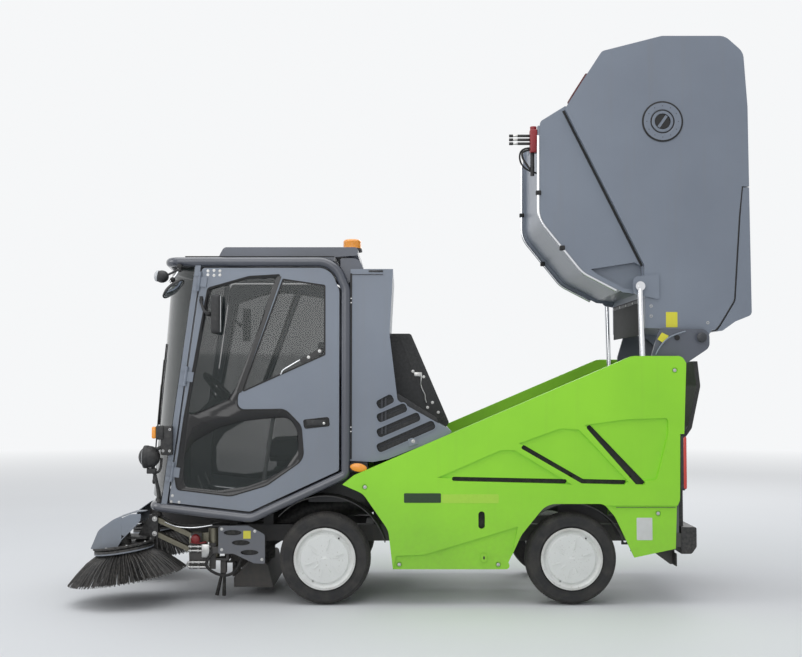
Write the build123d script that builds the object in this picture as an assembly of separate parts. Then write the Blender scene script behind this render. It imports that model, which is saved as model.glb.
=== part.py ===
from build123d import *
import os
from math import cos, hypot, radians, sin

os.makedirs("parts", exist_ok=True)

# Compact street sweeper with its hopper raised to tip.
# Millimetres. +X is forwards, +Y is the vehicle's left side, +Z is up, and the ground is Z = 0.

# Wheels and stance
wheel_base = 1448.0
front_axle_x = 491.0
tyre_radius = 270.0
tyre_width = 165.0
tyre_bead_radius = 166.0
wheel_mid_y = 520.0
wheel_cover_radius = 180.0
cover_disc_radius = 138.0
cover_rib_count = 6
cover_rib_radius = 92.0
cover_rib_length = 52.0
valve_hole_radius = 6.0
kingpin_y = 400.0
steer_pin_radius = 20.0
spindle_radius = 25.0

# Chassis
rail_mid_y = 230.0
rail_width = 60.0
rail_bottom = 330.0
rail_height = 100.0
front_cross_half = 460.0
frame_rear_x = -1600.0
frame_front_x = 1130.0

# Cab
hoop_tube_radius = 27.5
hoop_mid_y = 590.0
cab_sheet = 24.0
door_seal_gap = 10.0
door_thick = 25.0
door_outer_y = 604.0
glass_thick = 6.0
pillar_width = 32.0
screen_low_z = 620.0
screen_high_z = 1988.0
screen_low_bulge = 142.0
screen_high_bulge = 232.0

# Side panels
panel_outer_y = 625.0
panel_thick = 30.0

# Hopper: pivot, travel and widths
hopper_pivot_x = -1738.0
hopper_pivot_z = 1570.0
hopper_travel = 83.2
hopper_side_room = 100.0
belly_step = 40.0
hopper_wall = 12.0
hopper_gap = 12.0
hopper_pin_radius = 22.0

# Lift cylinders
ram_side_room = 35.0
ram_base_x = -1415.0
ram_base_z = 456.0
ram_eye_x = -1380.0
ram_eye_z = 1876.0
ram_barrel_radius = 28.0
ram_rod_radius = 16.0
ram_barrel_length = 745.0
ram_pin_radius = 14.0
ram_boss_half = 15.0

# Brushes
swing_pin_x = 1167.0
swing_pin_y = 420.0
swing_pin_radius = 18.0
link_pin_radius = 9.0
link_rear_x = 1290.0
link_rear_z = 380.0
brush_offset = 169.8
link_rise = 25.0
link_spacing = 88.0
brush_x = 1690.0
brush_y = 500.0
brush_z = 320.0
brush_tilt = 8.0
brush_disc_radius = 173.0
bristle_tip_radius = 365.0
bristle_drop = 175.0

# Clearances
running = 0.05
seat = 0.3

rear_axle_x = front_axle_x - wheel_base
axle_z = tyre_radius
panel_inner_y = panel_outer_y - panel_thick
hopper_half_width = panel_outer_y - hopper_side_room
belly_half_width = hopper_half_width - belly_step
ram_y = hopper_half_width + ram_side_room
link_length = (brush_x - brush_offset - link_rear_x) / cos(radians(link_rise))
rail_top = rail_bottom + rail_height


def block(x0, x1, y0, y1, z0, z1):
    """A box between two corners."""
    middle = ((x0 + x1) / 2, (y0 + y1) / 2, (z0 + z1) / 2)
    return Pos(*middle) * Box(abs(x1 - x0), abs(y1 - y0), abs(z1 - z0))


def rod(start, end, radius):
    """A round bar from one point to another."""
    way = Vector(end) - Vector(start)
    return Plane(origin=start, z_dir=way) * Cylinder(
        radius, way.length, align=(Align.CENTER, Align.CENTER, Align.MIN)
    )


def outline(rows):
    """A closed outline from rows of x, z and corner radius."""
    corners = [(x, z) for x, z, radius in rows]
    radii = [radius for x, z, radius in rows]
    return make_face(FilletPolyline(*corners, radius=radii, close=True))


def slab(rows, y_from, y_to):
    """A solid whose side view is an outline, between two widths."""
    top = max(y_from, y_to)
    plane = Plane(origin=(0, top, 0), x_dir=(1, 0, 0), z_dir=(0, -1, 0))
    return extrude(plane * outline(rows), amount=abs(y_to - y_from), dir=(0, -1, 0))


def plan_slab(rows, z_from, z_to):
    """A solid whose plan view is an outline of x, y and corner radius, between two heights."""
    return extrude(Pos(0, 0, z_from) * outline(rows), amount=z_to - z_from, dir=(0, 0, 1))


def tube(points, radius, bend, close=False):
    """A round tube along straight runs with equal bends."""
    path = FilletPolyline(*points, radius=bend, close=close)
    section = Plane(origin=path @ 0, z_dir=path % 0) * Circle(radius)
    return sweep(section, path=path)


def inset(rows, distance):
    """Rows of a closed outline moved inwards by a distance."""
    count = len(rows)
    area = sum(
        rows[i][0] * rows[(i + 1) % count][1] - rows[(i + 1) % count][0] * rows[i][1]
        for i in range(count)
    )
    side = 1 if area > 0 else -1
    moved = []
    for i in range(count):
        x0, z0, radius0 = rows[i - 1]
        x1, z1, radius1 = rows[i]
        x2, z2, radius2 = rows[(i + 1) % count]
        run_in = Vector(x1 - x0, z1 - z0).normalized()
        run_out = Vector(x2 - x1, z2 - z1).normalized()
        turn = run_in.X * run_out.Y - run_in.Y * run_out.X
        normal_in = Vector(-run_in.Y, run_in.X) * side * distance
        normal_out = Vector(-run_out.Y, run_out.X) * side * distance
        step = ((normal_out.X - normal_in.X) * run_out.Y - (normal_out.Y - normal_in.Y) * run_out.X) / turn
        radius = max(radius1 - distance * (1 if turn * side > 0 else -1), 0) if radius1 else 0
        moved.append((x1 + normal_in.X + run_in.X * step, z1 + normal_in.Y + run_in.Y * step, radius))
    return moved


def both(shape):
    """A left piece and its mirror image on the right."""
    return [shape, mirror(shape, about=Plane.XZ)]


def put(name, *shapes):
    """Write one node."""
    solids = []
    for shape in shapes:
        for item in shape if isinstance(shape, (list, tuple)) else [shape]:
            solids.extend(item.solids())
    whole = solids[0] if len(solids) == 1 else Compound(children=solids)
    whole.label = name
    export_step(whole, f"parts/{name}.step")


def put_pair(name, *shapes):
    """Write a left node and its mirror image as the right node."""
    put(f"{name}_left", *shapes)
    put(f"{name}_right", *[mirror(shape, about=Plane.XZ) for shape in shapes])


def z_on(rows, first, last, x):
    """Height of the line through two rows at a place along it."""
    x0, z0, radius0 = rows[first]
    x1, z1, radius1 = rows[last]
    return z0 + (z1 - z0) * (x - x0) / (x1 - x0)


def x_on(rows, first, last, z):
    """Place along the line through two rows at a height."""
    x0, z0, radius0 = rows[first]
    x1, z1, radius1 = rows[last]
    return x0 + (x1 - x0) * (z - z0) / (z1 - z0)


def lowered(x, z):
    """Where a point of the raised hopper lies once the hopper is down."""
    turn = radians(hopper_travel)
    dx = x - hopper_pivot_x
    dz = z - hopper_pivot_z
    return (
        hopper_pivot_x + dx * cos(turn) + dz * sin(turn),
        hopper_pivot_z - dx * sin(turn) + dz * cos(turn),
    )


def raised(x, z):
    """Where a point of the lowered hopper lies once it is raised."""
    turn = radians(hopper_travel)
    dx = x - hopper_pivot_x
    dz = z - hopper_pivot_z
    return (
        hopper_pivot_x + dx * cos(turn) - dz * sin(turn),
        hopper_pivot_z + dx * sin(turn) + dz * cos(turn),
    )


# Hopper outlines, in the raised position. Columns: x, z, corner radius
hopper_side_rows = [
    (-1170, 3303, 40),
    (-1532, 3396, 60),
    (-1913, 3396, 90),
    (-2023, 3297, 90),
    (-2045, 2965, 0),
    (-2048, 2480, 0),
    (-2008, 2480, 0),
    (-1988, 2300, 0),
    (-1952, 1793, 60),
    (-1861, 1644, 30),
    (-1837, 1617, 0),
    (-1416, 1629, 0),
    (-1414, 2007, 30),
    (-945, 2952, 0),
    (-1071, 3151, 0),
]
belly_rows = [
    (-1414, 2007, 0),
    (-945, 2952, 0),
    (-816, 2872, 12),
    (-813, 2300, 150),
    (-1066, 1985, 150),
    (-1300, 1862, 0),
    (-1414, 1850, 0),
]
hopper_door_rows = [
    (-2010, 2474, 0),
    (-2048, 2474, 0),
    (-2054, 1707, 30),
    (-1956, 1668, 30),
    (-1877, 1612, 0),
    (-1845, 1612, 0),
    (-1867, 1641, 30),
    (-1958, 1791, 60),
    (-1994, 2300, 0),
]


# Cab side, on the outer side of the tube; the first and last rows lie on the pillar line.
# Columns: x, z, corner radius
cab_rows = [
    (1277, 2046, 0),
    (420, 2046, 170),
    (343, 1860, 120),
    (343, 745, 60),
    (918, 480, 120),
    (1479, 543, 0),
]
tube_rows = inset(cab_rows, hoop_tube_radius)
shell_out = inset(cab_rows, hoop_tube_radius - cab_sheet / 2)
shell_in = inset(cab_rows, hoop_tube_radius + cab_sheet / 2)
cab_half = hoop_mid_y - hoop_tube_radius - seat


def wheel_set(axle_x, side):
    """Tyre and wheel at one corner; side is 1 on the left and -1 on the right."""
    half = tyre_width / 2
    tyre_rows = [
        (tyre_bead_radius, -half + 18, 0),
        (tyre_bead_radius + 22, -half + 4, 10),
        (tyre_radius - 52, -half, 25),
        (tyre_radius - 16, -half + 8, 16),
        (tyre_radius, -half + 30, 12),
        (tyre_radius, half - 30, 12),
        (tyre_radius - 16, half - 8, 16),
        (tyre_radius - 52, half, 25),
        (tyre_bead_radius + 22, half - 4, 10),
        (tyre_bead_radius, half - 18, 0),
    ]
    wheel_rows = [
        (tyre_bead_radius - seat, -half + 20, 0),
        (tyre_bead_radius - seat, half - 12, 0),
        (wheel_cover_radius, half - 1, 0),
        (wheel_cover_radius, half + 3, 0),
        (wheel_cover_radius - 12, half + 5, 5),
        (wheel_cover_radius - 26, half - 8, 6),
        (cover_disc_radius + 8, half - 8, 3),
        (cover_disc_radius, half - 1, 3),
        (0, half + 2, 0),
        (0, 10, 0),
        (spindle_radius + running, 10, 0),
        (spindle_radius + running, -20, 0),
        (62, -20, 6),
        (62, half - 30, 10),
        (tyre_bead_radius - 26, half - 34, 10),
        (tyre_bead_radius - 14, -half + 20, 0),
    ]
    tyre = revolve(Plane.XZ * outline(tyre_rows), axis=Axis.Z)
    wheel = revolve(Plane.XZ * outline(wheel_rows), axis=Axis.Z)
    for spoke in range(cover_rib_count):
        turn = Rot(0, 0, 360 / cover_rib_count * spoke + 17)
        wheel += turn * Pos(cover_rib_radius, 0, half + 1) * Box(cover_rib_length, 7, 6)
    wheel -= Rot(0, 0, 62) * Pos(wheel_cover_radius - 34, 0, half - 10) * Cylinder(valve_hole_radius, 30)
    middle = Plane(origin=(axle_x, side * wheel_mid_y, axle_z), x_dir=(1, 0, 0), z_dir=(0, side, 0))
    return middle * tyre, middle * wheel


# Wheels
wheel_table = [
    ("front_left", front_axle_x, 1),
    ("front_right", front_axle_x, -1),
    ("rear_left", rear_axle_x, 1),
    ("rear_right", rear_axle_x, -1),
]
for corner, axle_x, side in wheel_table:
    tyre, wheel = wheel_set(axle_x, side)
    put(f"tyre_{corner}", tyre)
    put(f"wheel_{corner}", wheel)

# Axles: a forked front beam for the knuckles and a rear beam with spindles
beam_end_y = kingpin_y - 32
fork_half = 62.0
fork_plate = 16.0
fork_half_x = 26.0
beam_half = 30.0
saddle_reach = 90.0
saddle_half = rail_mid_y + 25
spindle_end_y = wheel_mid_y + 8
front_beam = block(
    front_axle_x - beam_half, front_axle_x + beam_half, -beam_end_y, beam_end_y,
    axle_z - beam_half, axle_z + beam_half,
)
for side in (1, -1):
    fork_y0 = side * (beam_end_y - 20)
    fork_y1 = side * (kingpin_y + 24)
    front_beam += block(
        front_axle_x - fork_half_x, front_axle_x + fork_half_x, side * (beam_end_y - 20), side * beam_end_y,
        axle_z - fork_half, axle_z + fork_half,
    )
    for low in (axle_z - fork_half, axle_z + fork_half - fork_plate):
        front_beam += block(
            front_axle_x - fork_half_x, front_axle_x + fork_half_x, fork_y0, fork_y1, low, low + fork_plate
        )
    front_beam -= rod(
        (front_axle_x, side * kingpin_y, axle_z - fork_half - 1),
        (front_axle_x, side * kingpin_y, axle_z + fork_half + 1),
        steer_pin_radius + running,
    )
for x in (front_axle_x - saddle_reach, front_axle_x + saddle_reach):
    front_beam += block(x - 12, x + 12, -saddle_half, saddle_half, axle_z - 20, axle_z + 20)
front_beam += block(
    front_axle_x - saddle_reach, front_axle_x + saddle_reach, -saddle_half, saddle_half, axle_z + 10, axle_z + 20
)
for side in (1, -1):
    front_beam += block(
        front_axle_x - saddle_reach, front_axle_x + saddle_reach, side * (rail_mid_y - 25), side * saddle_half,
        axle_z - 20, rail_bottom,
    )
rear_beam = rod((rear_axle_x, -spindle_end_y + 90, axle_z), (rear_axle_x, spindle_end_y - 90, axle_z), 38)
rear_beam += rod((rear_axle_x, -spindle_end_y, axle_z), (rear_axle_x, spindle_end_y, axle_z), spindle_radius)
for side in (1, -1):
    rear_beam += block(
        rear_axle_x - 60, rear_axle_x + 60, side * (rail_mid_y - 25), side * (rail_mid_y + 25),
        axle_z - 20, rail_bottom,
    )
put("axles", front_beam, rear_beam)

# Steering knuckles turn on upright pins in the forks
king_pin = Vector(front_axle_x, kingpin_y, axle_z)
pin_reach = fork_half - 2
steer_arm_length = 150.0
steer_arm_half = 5.0
knuckle = rod(king_pin - Vector(0, 0, pin_reach), king_pin + Vector(0, 0, pin_reach), steer_pin_radius)
knuckle += rod(
        king_pin - Vector(0, 0, fork_half - 22), king_pin + Vector(0, 0, fork_half - 22), steer_pin_radius + 9
    )
knuckle += rod(king_pin, (front_axle_x, spindle_end_y, axle_z), spindle_radius)
knuckle += rod(king_pin, (front_axle_x, wheel_mid_y - 30, axle_z), spindle_radius + 9)
knuckle += block(
    front_axle_x - steer_arm_length, front_axle_x, kingpin_y - steer_arm_half, kingpin_y + steer_arm_half,
    axle_z - 14, axle_z + 4,
)
put_pair("knuckle", knuckle)

# Chassis frame
frame_solid = Part()
for side in (1, -1):
    rail_y = side * rail_mid_y
    frame_solid += block(
        frame_rear_x, frame_front_x, rail_y - rail_width / 2, rail_y + rail_width / 2, rail_bottom, rail_top
    )
cross_table = [
    # x of the middle, length along x, half width
    (frame_rear_x + 25, 50, panel_inner_y - seat),
    (ram_base_x, 60, panel_inner_y - seat),
    (rear_axle_x + 420, 50, panel_inner_y - seat),
    (-60, 50, panel_inner_y - seat),
    (240, 50, rail_mid_y),
    (frame_front_x - 30, 60, front_cross_half),
]
for x, length, half in cross_table:
    frame_solid += block(x - length / 2, x + length / 2, -half, half, rail_bottom + 10, rail_top - 10)
swing_plate = 14.0
swing_half = 105.0
swing_mid_z = 345.0
for side in (1, -1):
    for z in (swing_mid_z - swing_half, swing_mid_z + swing_half - swing_plate):
        frame_solid += plan_slab(
            [
                (frame_front_x - 40, side * (swing_pin_y - 60), 0),
                (swing_pin_x + 20, side * (swing_pin_y - 32), 20),
                (swing_pin_x + 20, side * (swing_pin_y + 32), 20),
                (frame_front_x - 40, side * (swing_pin_y + 40), 0),
            ],
            z, z + swing_plate,
        )
    frame_solid += block(
        frame_front_x - 56, frame_front_x - 40, side * (swing_pin_y - 60), side * (swing_pin_y + 40),
        swing_mid_z - swing_half, swing_mid_z + swing_half,
    )
    frame_solid += rod(
        (swing_pin_x, side * swing_pin_y, swing_mid_z - swing_half),
        (swing_pin_x, side * swing_pin_y, swing_mid_z + swing_half), swing_pin_radius,
    )
    for y in (ram_y - 28, ram_y + 21):
        frame_solid += block(
            ram_base_x - 30, ram_base_x + 30, side * y, side * (y + 7), rail_top - 20, ram_base_z + 26,
        )
    frame_solid += rod(
        (ram_base_x, side * (ram_y - 28), ram_base_z), (ram_base_x, side * (ram_y + 28), ram_base_z),
        ram_pin_radius,
    )
for x in (1080, 860):
    first = 3 if x < shell_out[4][0] else 4
    top = min(z_on(shell_out, first, first + 1, x - 30), z_on(shell_out, first, first + 1, x + 30)) - seat
    for side in (1, -1):
        frame_solid += block(
            x - 30, x + 30, side * (rail_mid_y - 25), side * (rail_mid_y + 25), rail_top - 5, top
        )
tie_hole_radius = 13.0
tie_lug_thick = 16.0
tie_lug_half = 25.0
tie_y = 150.0
tie_table = [
    # x and z of the hole
    (frame_front_x - 12, 205),
    (ram_base_x, 275),
]
for x, z in tie_table:
    for y in (-tie_y, tie_y):
        lug = block(
            x - tie_lug_half, x + tie_lug_half, y - tie_lug_thick / 2, y + tie_lug_thick / 2,
            z - tie_lug_half, rail_bottom + 12,
        )
        frame_solid += lug - rod((x, y - tie_lug_thick, z), (x, y + tie_lug_thick, z), tie_hole_radius)
rear_gusset_rows = [
    (frame_rear_x + 130, rail_bottom + 10, 0),
    (frame_rear_x + 18, rail_bottom + 10, 0),
    (frame_rear_x + 18, 226, 0),
    (frame_rear_x + 46, 226, 0),
    (frame_rear_x + 130, 288, 0),
]
for y in (-500, 500):
    frame_solid += slab(rear_gusset_rows, y - 4, y + 4)
put("chassis_frame", frame_solid)

# Mast: two posts with ear plates that carry the hopper pins
post_front_x = -1484.0
post_rear_x = -1590.0
post_top_z = 1395.0
ear_inner_y = hopper_half_width + 15
ear_thick = 20.0
ear_rows = [
    (-1448, 1390, 0),
    (-1448, 1474, 20),
    (-1492, 1622, 30),
    (hopper_pivot_x - 52, hopper_pivot_z + 52, 50),
    (hopper_pivot_x - 52, hopper_pivot_z - 60, 50),
    (post_rear_x - 20, 1390, 0),
]
mast = []
for side in (1, -1):
    post_outer_y = panel_inner_y - seat - 6
    post = block(
        post_rear_x, post_front_x, side * ear_inner_y, side * post_outer_y, rail_top - 10 + seat, post_top_z
    )
    ear = slab(ear_rows, side * ear_inner_y, side * (ear_inner_y + ear_thick))
    pin = rod(
        (hopper_pivot_x, side * (hopper_half_width - 20), hopper_pivot_z),
        (hopper_pivot_x, side * (ear_inner_y + ear_thick + 6), hopper_pivot_z), hopper_pin_radius,
    )
    mast.append(post + ear + pin)
put("lift_mast", mast)

# Rear cover between the posts and the rear bumper
bumper_top_z = 456.0
cover_rows = [
    (-1628, bumper_top_z + seat, 0),
    (frame_rear_x - seat, bumper_top_z + seat, 0),
    (frame_rear_x - seat, 960, 20),
    (-1664, 1040, 40),
    (-1716, 1285, 60),
    (-1700, 1430, 0),
    (-1724, 1430, 0),
    (-1740, 1282, 60),
    (-1686, 1030, 40),
    (-1628, 950, 20),
]
put("rear_cover", slab(cover_rows, -(ear_inner_y - 10), ear_inner_y - 10))
bumper_rows = [
    (frame_rear_x - seat, 300, 0),
    (-1660, 300, 20),
    (-1690, 340, 25),
    (-1690, bumper_top_z, 12),
    (frame_rear_x - seat, bumper_top_z, 0),
]
bumper = slab(bumper_rows, -600, 600) - slab(inset(bumper_rows, 12), -588, 588)
put("rear_bumper", bumper)

# Side panels: one green moulding each side
panel_rows = [
    (387, 706, 0),
    (320, 760, 30),
    (-1312, 1458, 60),
    (-1609, 1459, 40),
    (-1634, 1418, 20),
    (-1618, 1002, 0),
    (-1594, 1002, 0),
    (-1590, 666, 0),
    (-1588, 613, 20),
    (-1573, 580, 10),
    (-1564, 332, 0),
    (-1322, 280, 0),
    (-1210, 519, 120),
    (-1144, 594, 60),
    (-808, 594, 120),
    (-660, 413, 120),
    (-585, 253, 0),
    (-598, 213, 20),
    (91, 213, 0),
    (118, 440, 100),
    (266, 653, 100),
]
slot_table = [
    # slot outline, dish outline, both as x, z and radius
    (
        [(-249, 727, 12), (-260, 751, 12), (-935, 737, 12), (-923, 710, 12)],
        [(-171, 747, 0), (-541, 907, 30), (-622, 907, 30), (-957, 706, 0)],
    ),
    (
        [
            (-656, 920, 10), (-676, 938, 10), (-1024, 738, 20),
            (-1285, 732, 10), (-1267, 706, 10), (-1016, 712, 20),
        ],
        [
            (-648, 947, 0), (-891, 1034, 20), (-999, 1028, 20),
            (-1039, 988, 20), (-1290, 720, 0), (-1024, 738, 0),
        ],
    ),
    (
        [(-1040, 1041, 12), (-1066, 1056, 12), (-1401, 706, 12), (-1333, 706, 12)],
        [
            (-1033, 1054, 0), (-1283, 1088, 20), (-1525, 1095, 20),
            (-1524, 1002, 40), (-1454, 735, 20), (-1380, 728, 0),
        ],
    ),
]
dish_depth = 14.0
step_depth = 12.0
side_panel = slab(panel_rows, panel_inner_y, panel_outer_y)
for slot_rows, dish_rows in slot_table:
    side_panel -= slab(dish_rows, panel_outer_y - dish_depth, panel_outer_y + 1)
    side_panel -= slab(slot_rows, panel_inner_y - 1, panel_outer_y + 1)
low_step_rows = [(92, 205, 0), (72, 293, 0), (-97, 300, 60), (-640, 462, 0), (-585, 205, 0)]
rear_step_rows = [(-1100, 584, 0), (-1600, 584, 0), (-1600, 270, 0), (-1300, 270, 0)]
for rows in (low_step_rows, rear_step_rows):
    side_panel -= slab(rows, panel_outer_y - step_depth, panel_outer_y + 1)
fuel_rows = [(-409, 448, 18), (-447, 448, 18), (-447, 550, 18), (-409, 550, 18)]
side_panel -= slab(fuel_rows, panel_inner_y - 1, panel_outer_y + 1)
cup_table = [
    # x, z, depth of the step there
    (255, 692, 0),
    (-1566, 1375, 0),
    (-1463, 537, step_depth),
    (54, 240, step_depth),
    (-525, 240, step_depth),
]
cup_radius = 17.0
cup_depth = 9.0
for x, z, depth in cup_table:
    cup_floor_y = panel_outer_y - depth - cup_depth
    side_panel -= rod((x, cup_floor_y, z), (x, panel_outer_y + 1, z), cup_radius)
    side_panel += rod((x, cup_floor_y - 1, z), (x, cup_floor_y + 6, z), cup_radius - 8)
put("side_panels", both(side_panel))

# Tail lamps
lamp_rows = [(-1590.4, 670, 6), (-1633, 670, 10), (-1635, 994, 10), (-1594.3, 994, 6)]
put("tail_lamps", both(slab(lamp_rows, 560, panel_outer_y - 4)))

# Wheel liners
liner_table = [
    # axle x, radius, start angle, end angle
    (front_axle_x, 369, 42, 165),
    (rear_axle_x, 325, 20, 160),
]
liners = []
for axle_x, radius, start, end in liner_table:
    ring = Circle(radius) - Circle(radius - 5)
    wedge = make_face(
        Polyline(
            (0, 0), (900 * cos(radians(start)), 900 * sin(radians(start))), (0, 1400),
            (900 * cos(radians(end)), 900 * sin(radians(end))), close=True,
        )
    )
    plane = Plane(origin=(axle_x, panel_inner_y - seat, axle_z), x_dir=(1, 0, 0), z_dir=(0, -1, 0))
    liner = extrude(plane * (ring & wedge), amount=panel_inner_y - 415, dir=(0, -1, 0))
    liners.extend(both(liner))
put("wheel_liners", liners)

# Engine block, clear of the steered front tyre, and water tank
engine_front_x = 220.0
engine_top_z = 930.0
tank_half = 470.0
tank_top_z = 1060.0
put("engine", block(-140, engine_front_x, -400, -10, rail_top + seat, engine_top_z))
put("water_tank", block(-1560, -1390, -tank_half, tank_half, rail_top + seat, tank_top_z))

# Cowl behind the cab, with louvres each side and a nest each side of the shroud for the lowered hopper
cowl_half = hoop_mid_y
cowl_front_x = cab_rows[2][0] - seat
cowl_wall = 12.0


def past_hopper(x, z):
    """A point just ahead of the lowered hopper."""
    down_x, down_z = lowered(x, z)
    return down_x + hopper_gap, down_z


cowl_corner_low = past_hopper(-1170, 3303)
cowl_corner_mid = past_hopper(-1532, 3396)
cowl_corner_top = past_hopper(-1913, 3396)
cowl_rows = [
    (cowl_front_x, 1976, 0),
    (cowl_corner_top[0] + 24, 1976, 0),
    (cowl_corner_mid[0], cowl_corner_mid[1], 60),
    (cowl_corner_low[0] + 2, cowl_corner_low[1] - 14, 30),
    (-262, 1016, 10),
    (-222, 985, 30),
    (120, 853, 40),
    (208, 836, 20),
    (cowl_front_x, 842, 0),
]
shroud_half = 300.0
nest_edge = [(*lowered(x, z), 0) for x, z, radius in (hopper_side_rows[0], hopper_side_rows[13])]
nest_low_x = -340.0
nest_high_z = nest_edge[0][1] + 50
nest_rows = [
    nest_edge[0],
    (nest_low_x, z_on(nest_edge, 0, 1, nest_low_x), 0),
    (nest_low_x, nest_high_z, 0),
    (nest_edge[0][0], nest_high_z, 0),
]
nest_outer_y = hopper_half_width + hopper_gap
cowl = slab(cowl_rows, -cowl_half, cowl_half)
cowl_inside = slab(inset(cowl_rows, cowl_wall), -cowl_half + cowl_wall, cowl_half - cowl_wall)
nest = slab(inset(nest_rows, -hopper_gap), shroud_half, nest_outer_y)
nest_shell = slab(
    inset(nest_rows, -hopper_gap - cowl_wall), shroud_half - cowl_wall, nest_outer_y + cowl_wall
)
for side_nest, side_shell in zip(both(nest), both(nest_shell)):
    cowl -= side_nest
    cowl_inside -= side_shell
cowl -= cowl_inside
louvre_table = [
    # x of the front end, z of the front end, x of the rear end, z of the rear end
    (183, 1166, 91, 1215),
    (183, 1088, 12, 1161),
    (183, 1000, -66, 1107),
    (183, 912, -154, 1059),
]
louvre_height = 54.0
louvre_rim = 7.0
louvre_proud = 4.0
for x0, z0, x1, z1 in louvre_table:
    length = hypot(x1 - x0, z1 - z0)
    up_x = (z1 - z0) / length * louvre_height / 2
    up_z = -(x1 - x0) / length * louvre_height / 2
    louvre_rows = [
        (x0 - up_x, z0 - up_z, 20),
        (x0 + up_x, z0 + up_z, 20),
        (x1 + up_x, z1 + up_z, 20),
        (x1 - up_x, z1 - up_z, 20),
    ]
    cowl += both(slab(inset(louvre_rows, -louvre_rim), cowl_half - 2, cowl_half + louvre_proud))
    cowl -= slab(louvre_rows, -cowl_half - 10, cowl_half + 10)
cowl -= block(-165, 306, -430, 430, 800, 1000)
put("cowl", cowl)

# Side indicators in black housings under the cowl
indicator_rows = [
    (cowl_front_x - 1, 800, 10),
    (250, 800, 18),
    (236, 818, 9),
    (262, 832, 10),
    (cowl_front_x - 1, 832, 10),
]
side_indicator = slab(indicator_rows, cowl_half - 40, cowl_half + 18)
stem_rear_x = cowl_front_x - 60
stem_top_z = z_on(cowl_rows, 7, 8, stem_rear_x) - seat
side_indicator += block(stem_rear_x, stem_rear_x + 40, cowl_half - 24, cowl_half - 14, 812, stem_top_z)
put("side_indicators", both(side_indicator))

# Suction shroud behind the cowl: it plugs into a notch of the lowered hopper
shroud_wall = 10.0
shroud_rows = [
    (cowl_corner_mid[0] + 20, 1604, 0),
    (-17, 1604, 20),
    (-253, 1056, 20),
    (-222, 1016, 0),
    (cowl_corner_low[0] + 20, cowl_corner_low[1] - 20, 0),
]
shroud = slab(shroud_rows, -shroud_half, shroud_half)
shroud -= slab(inset(shroud_rows, shroud_wall), -shroud_half + shroud_wall, shroud_half - shroud_wall)
shroud -= slab(inset(cowl_rows, -seat), -cowl_half, cowl_half)
put("suction_shroud", max(shroud.solids(), key=lambda piece: piece.volume))

# Suction duct and mouth
duct_y = 95.0
duct_radius = 85.0
duct_bend = 95.0
duct_points = [
    (920, duct_y, 205 + seat),
    (920, duct_y, 330),
    (640, duct_y, 500),
    (60, duct_y, 600),
    (-70, duct_y, 760),
    (-70, duct_y, 960),
]
duct = tube(duct_points, duct_radius, duct_bend)
put("suction_duct", duct)
mouth_rows = [(1060, 60, 0), (1060, 120, 20), (960, 205, 20), (860, 205, 20), (820, 60, 0)]
mouth = slab(mouth_rows, -330, 330) - slab(
    [(1050, 40, 0), (1050, 116, 20), (956, 195, 20), (866, 195, 20), (830, 40, 0)], -320, 320
)
for side in (1, -1):
    mouth += block(1040, 1090, side * 160, side * 184, 100, rail_bottom + 10 - seat)
put("suction_mouth", mouth)

# Nozzle side plates with oval lightening holes
side_plate_rows = [
    (1120, 459, 20),
    (946, 461, 0),
    (897, 436, 0),
    (846, 408, 20),
    (845, 237, 10),
    (910, 240, 20),
    (1029, 296, 20),
    (1119, 296, 10),
]
side_plate_outer_y = 566.0
side_plate = slab(side_plate_rows, side_plate_outer_y - 8, side_plate_outer_y)
for x, z in ((1036, 419), (987, 360), (936, 303)):
    oval = Plane(origin=(x, side_plate_outer_y + 1, z), x_dir=(1, 0, 0), z_dir=(0, -1, 0)) * Ellipse(53, 16)
    side_plate -= extrude(oval, amount=12, dir=(0, -1, 0))
side_plate += block(1074, 1112, front_cross_half + seat, side_plate_outer_y - 7, 350, 410)
put("nozzle_side_plates", both(side_plate))

# Cab frame: one tube that runs round both sides, under the screen and along the roof front
roof_front_x = 1415.0
roof_nose_x = 1476.0
sill_front_x = 1492.0
sill_front_z = 576.0
sill_nose_x = 1555.0
sill_nose_z = 590.0
side_points = [(roof_front_x, hoop_mid_y, tube_rows[0][1])]
side_bends = [70]
for x, z, radius in tube_rows[1:5]:
    side_points.append((x, hoop_mid_y, z))
    side_bends.append(radius)
side_points.append((sill_front_x, hoop_mid_y, sill_front_z))
side_bends.append(60)
loop_points = list(side_points)
loop_points.append((sill_nose_x, 0, sill_nose_z))
loop_points.extend((x, -y, z) for x, y, z in reversed(side_points))
loop_points.append((roof_nose_x, 0, tube_rows[0][1]))
loop_bends = side_bends + [2200] + side_bends[::-1] + [2200]
cab_frame = tube(loop_points, hoop_tube_radius, loop_bends, close=True)
frame_clear = tube(loop_points, hoop_tube_radius + seat, loop_bends, close=True)
put("cab_frame", cab_frame)

# Pillars stand between the tubes, ahead of the doors
pillar_back = inset(cab_rows, 2 * hoop_tube_radius)
pillar_front = inset(cab_rows, 2 * hoop_tube_radius - pillar_width)


pillar_low_z = sill_front_z - 10
pillar_high_z = cab_rows[0][1] - hoop_tube_radius
pillar_rows = [
    (x_on(pillar_front, 0, 5, pillar_low_z), pillar_low_z, 0),
    (x_on(pillar_front, 0, 5, pillar_high_z), pillar_high_z, 0),
    (x_on(pillar_back, 0, 5, pillar_high_z), pillar_high_z, 0),
    (x_on(pillar_back, 0, 5, pillar_low_z), pillar_low_z, 0),
]
pillar_outer_y = hoop_mid_y + 16
pillar = slab(pillar_rows, hoop_mid_y - 22, pillar_outer_y) - frame_clear
pillar = max(pillar.solids(), key=lambda piece: piece.volume)

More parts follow.
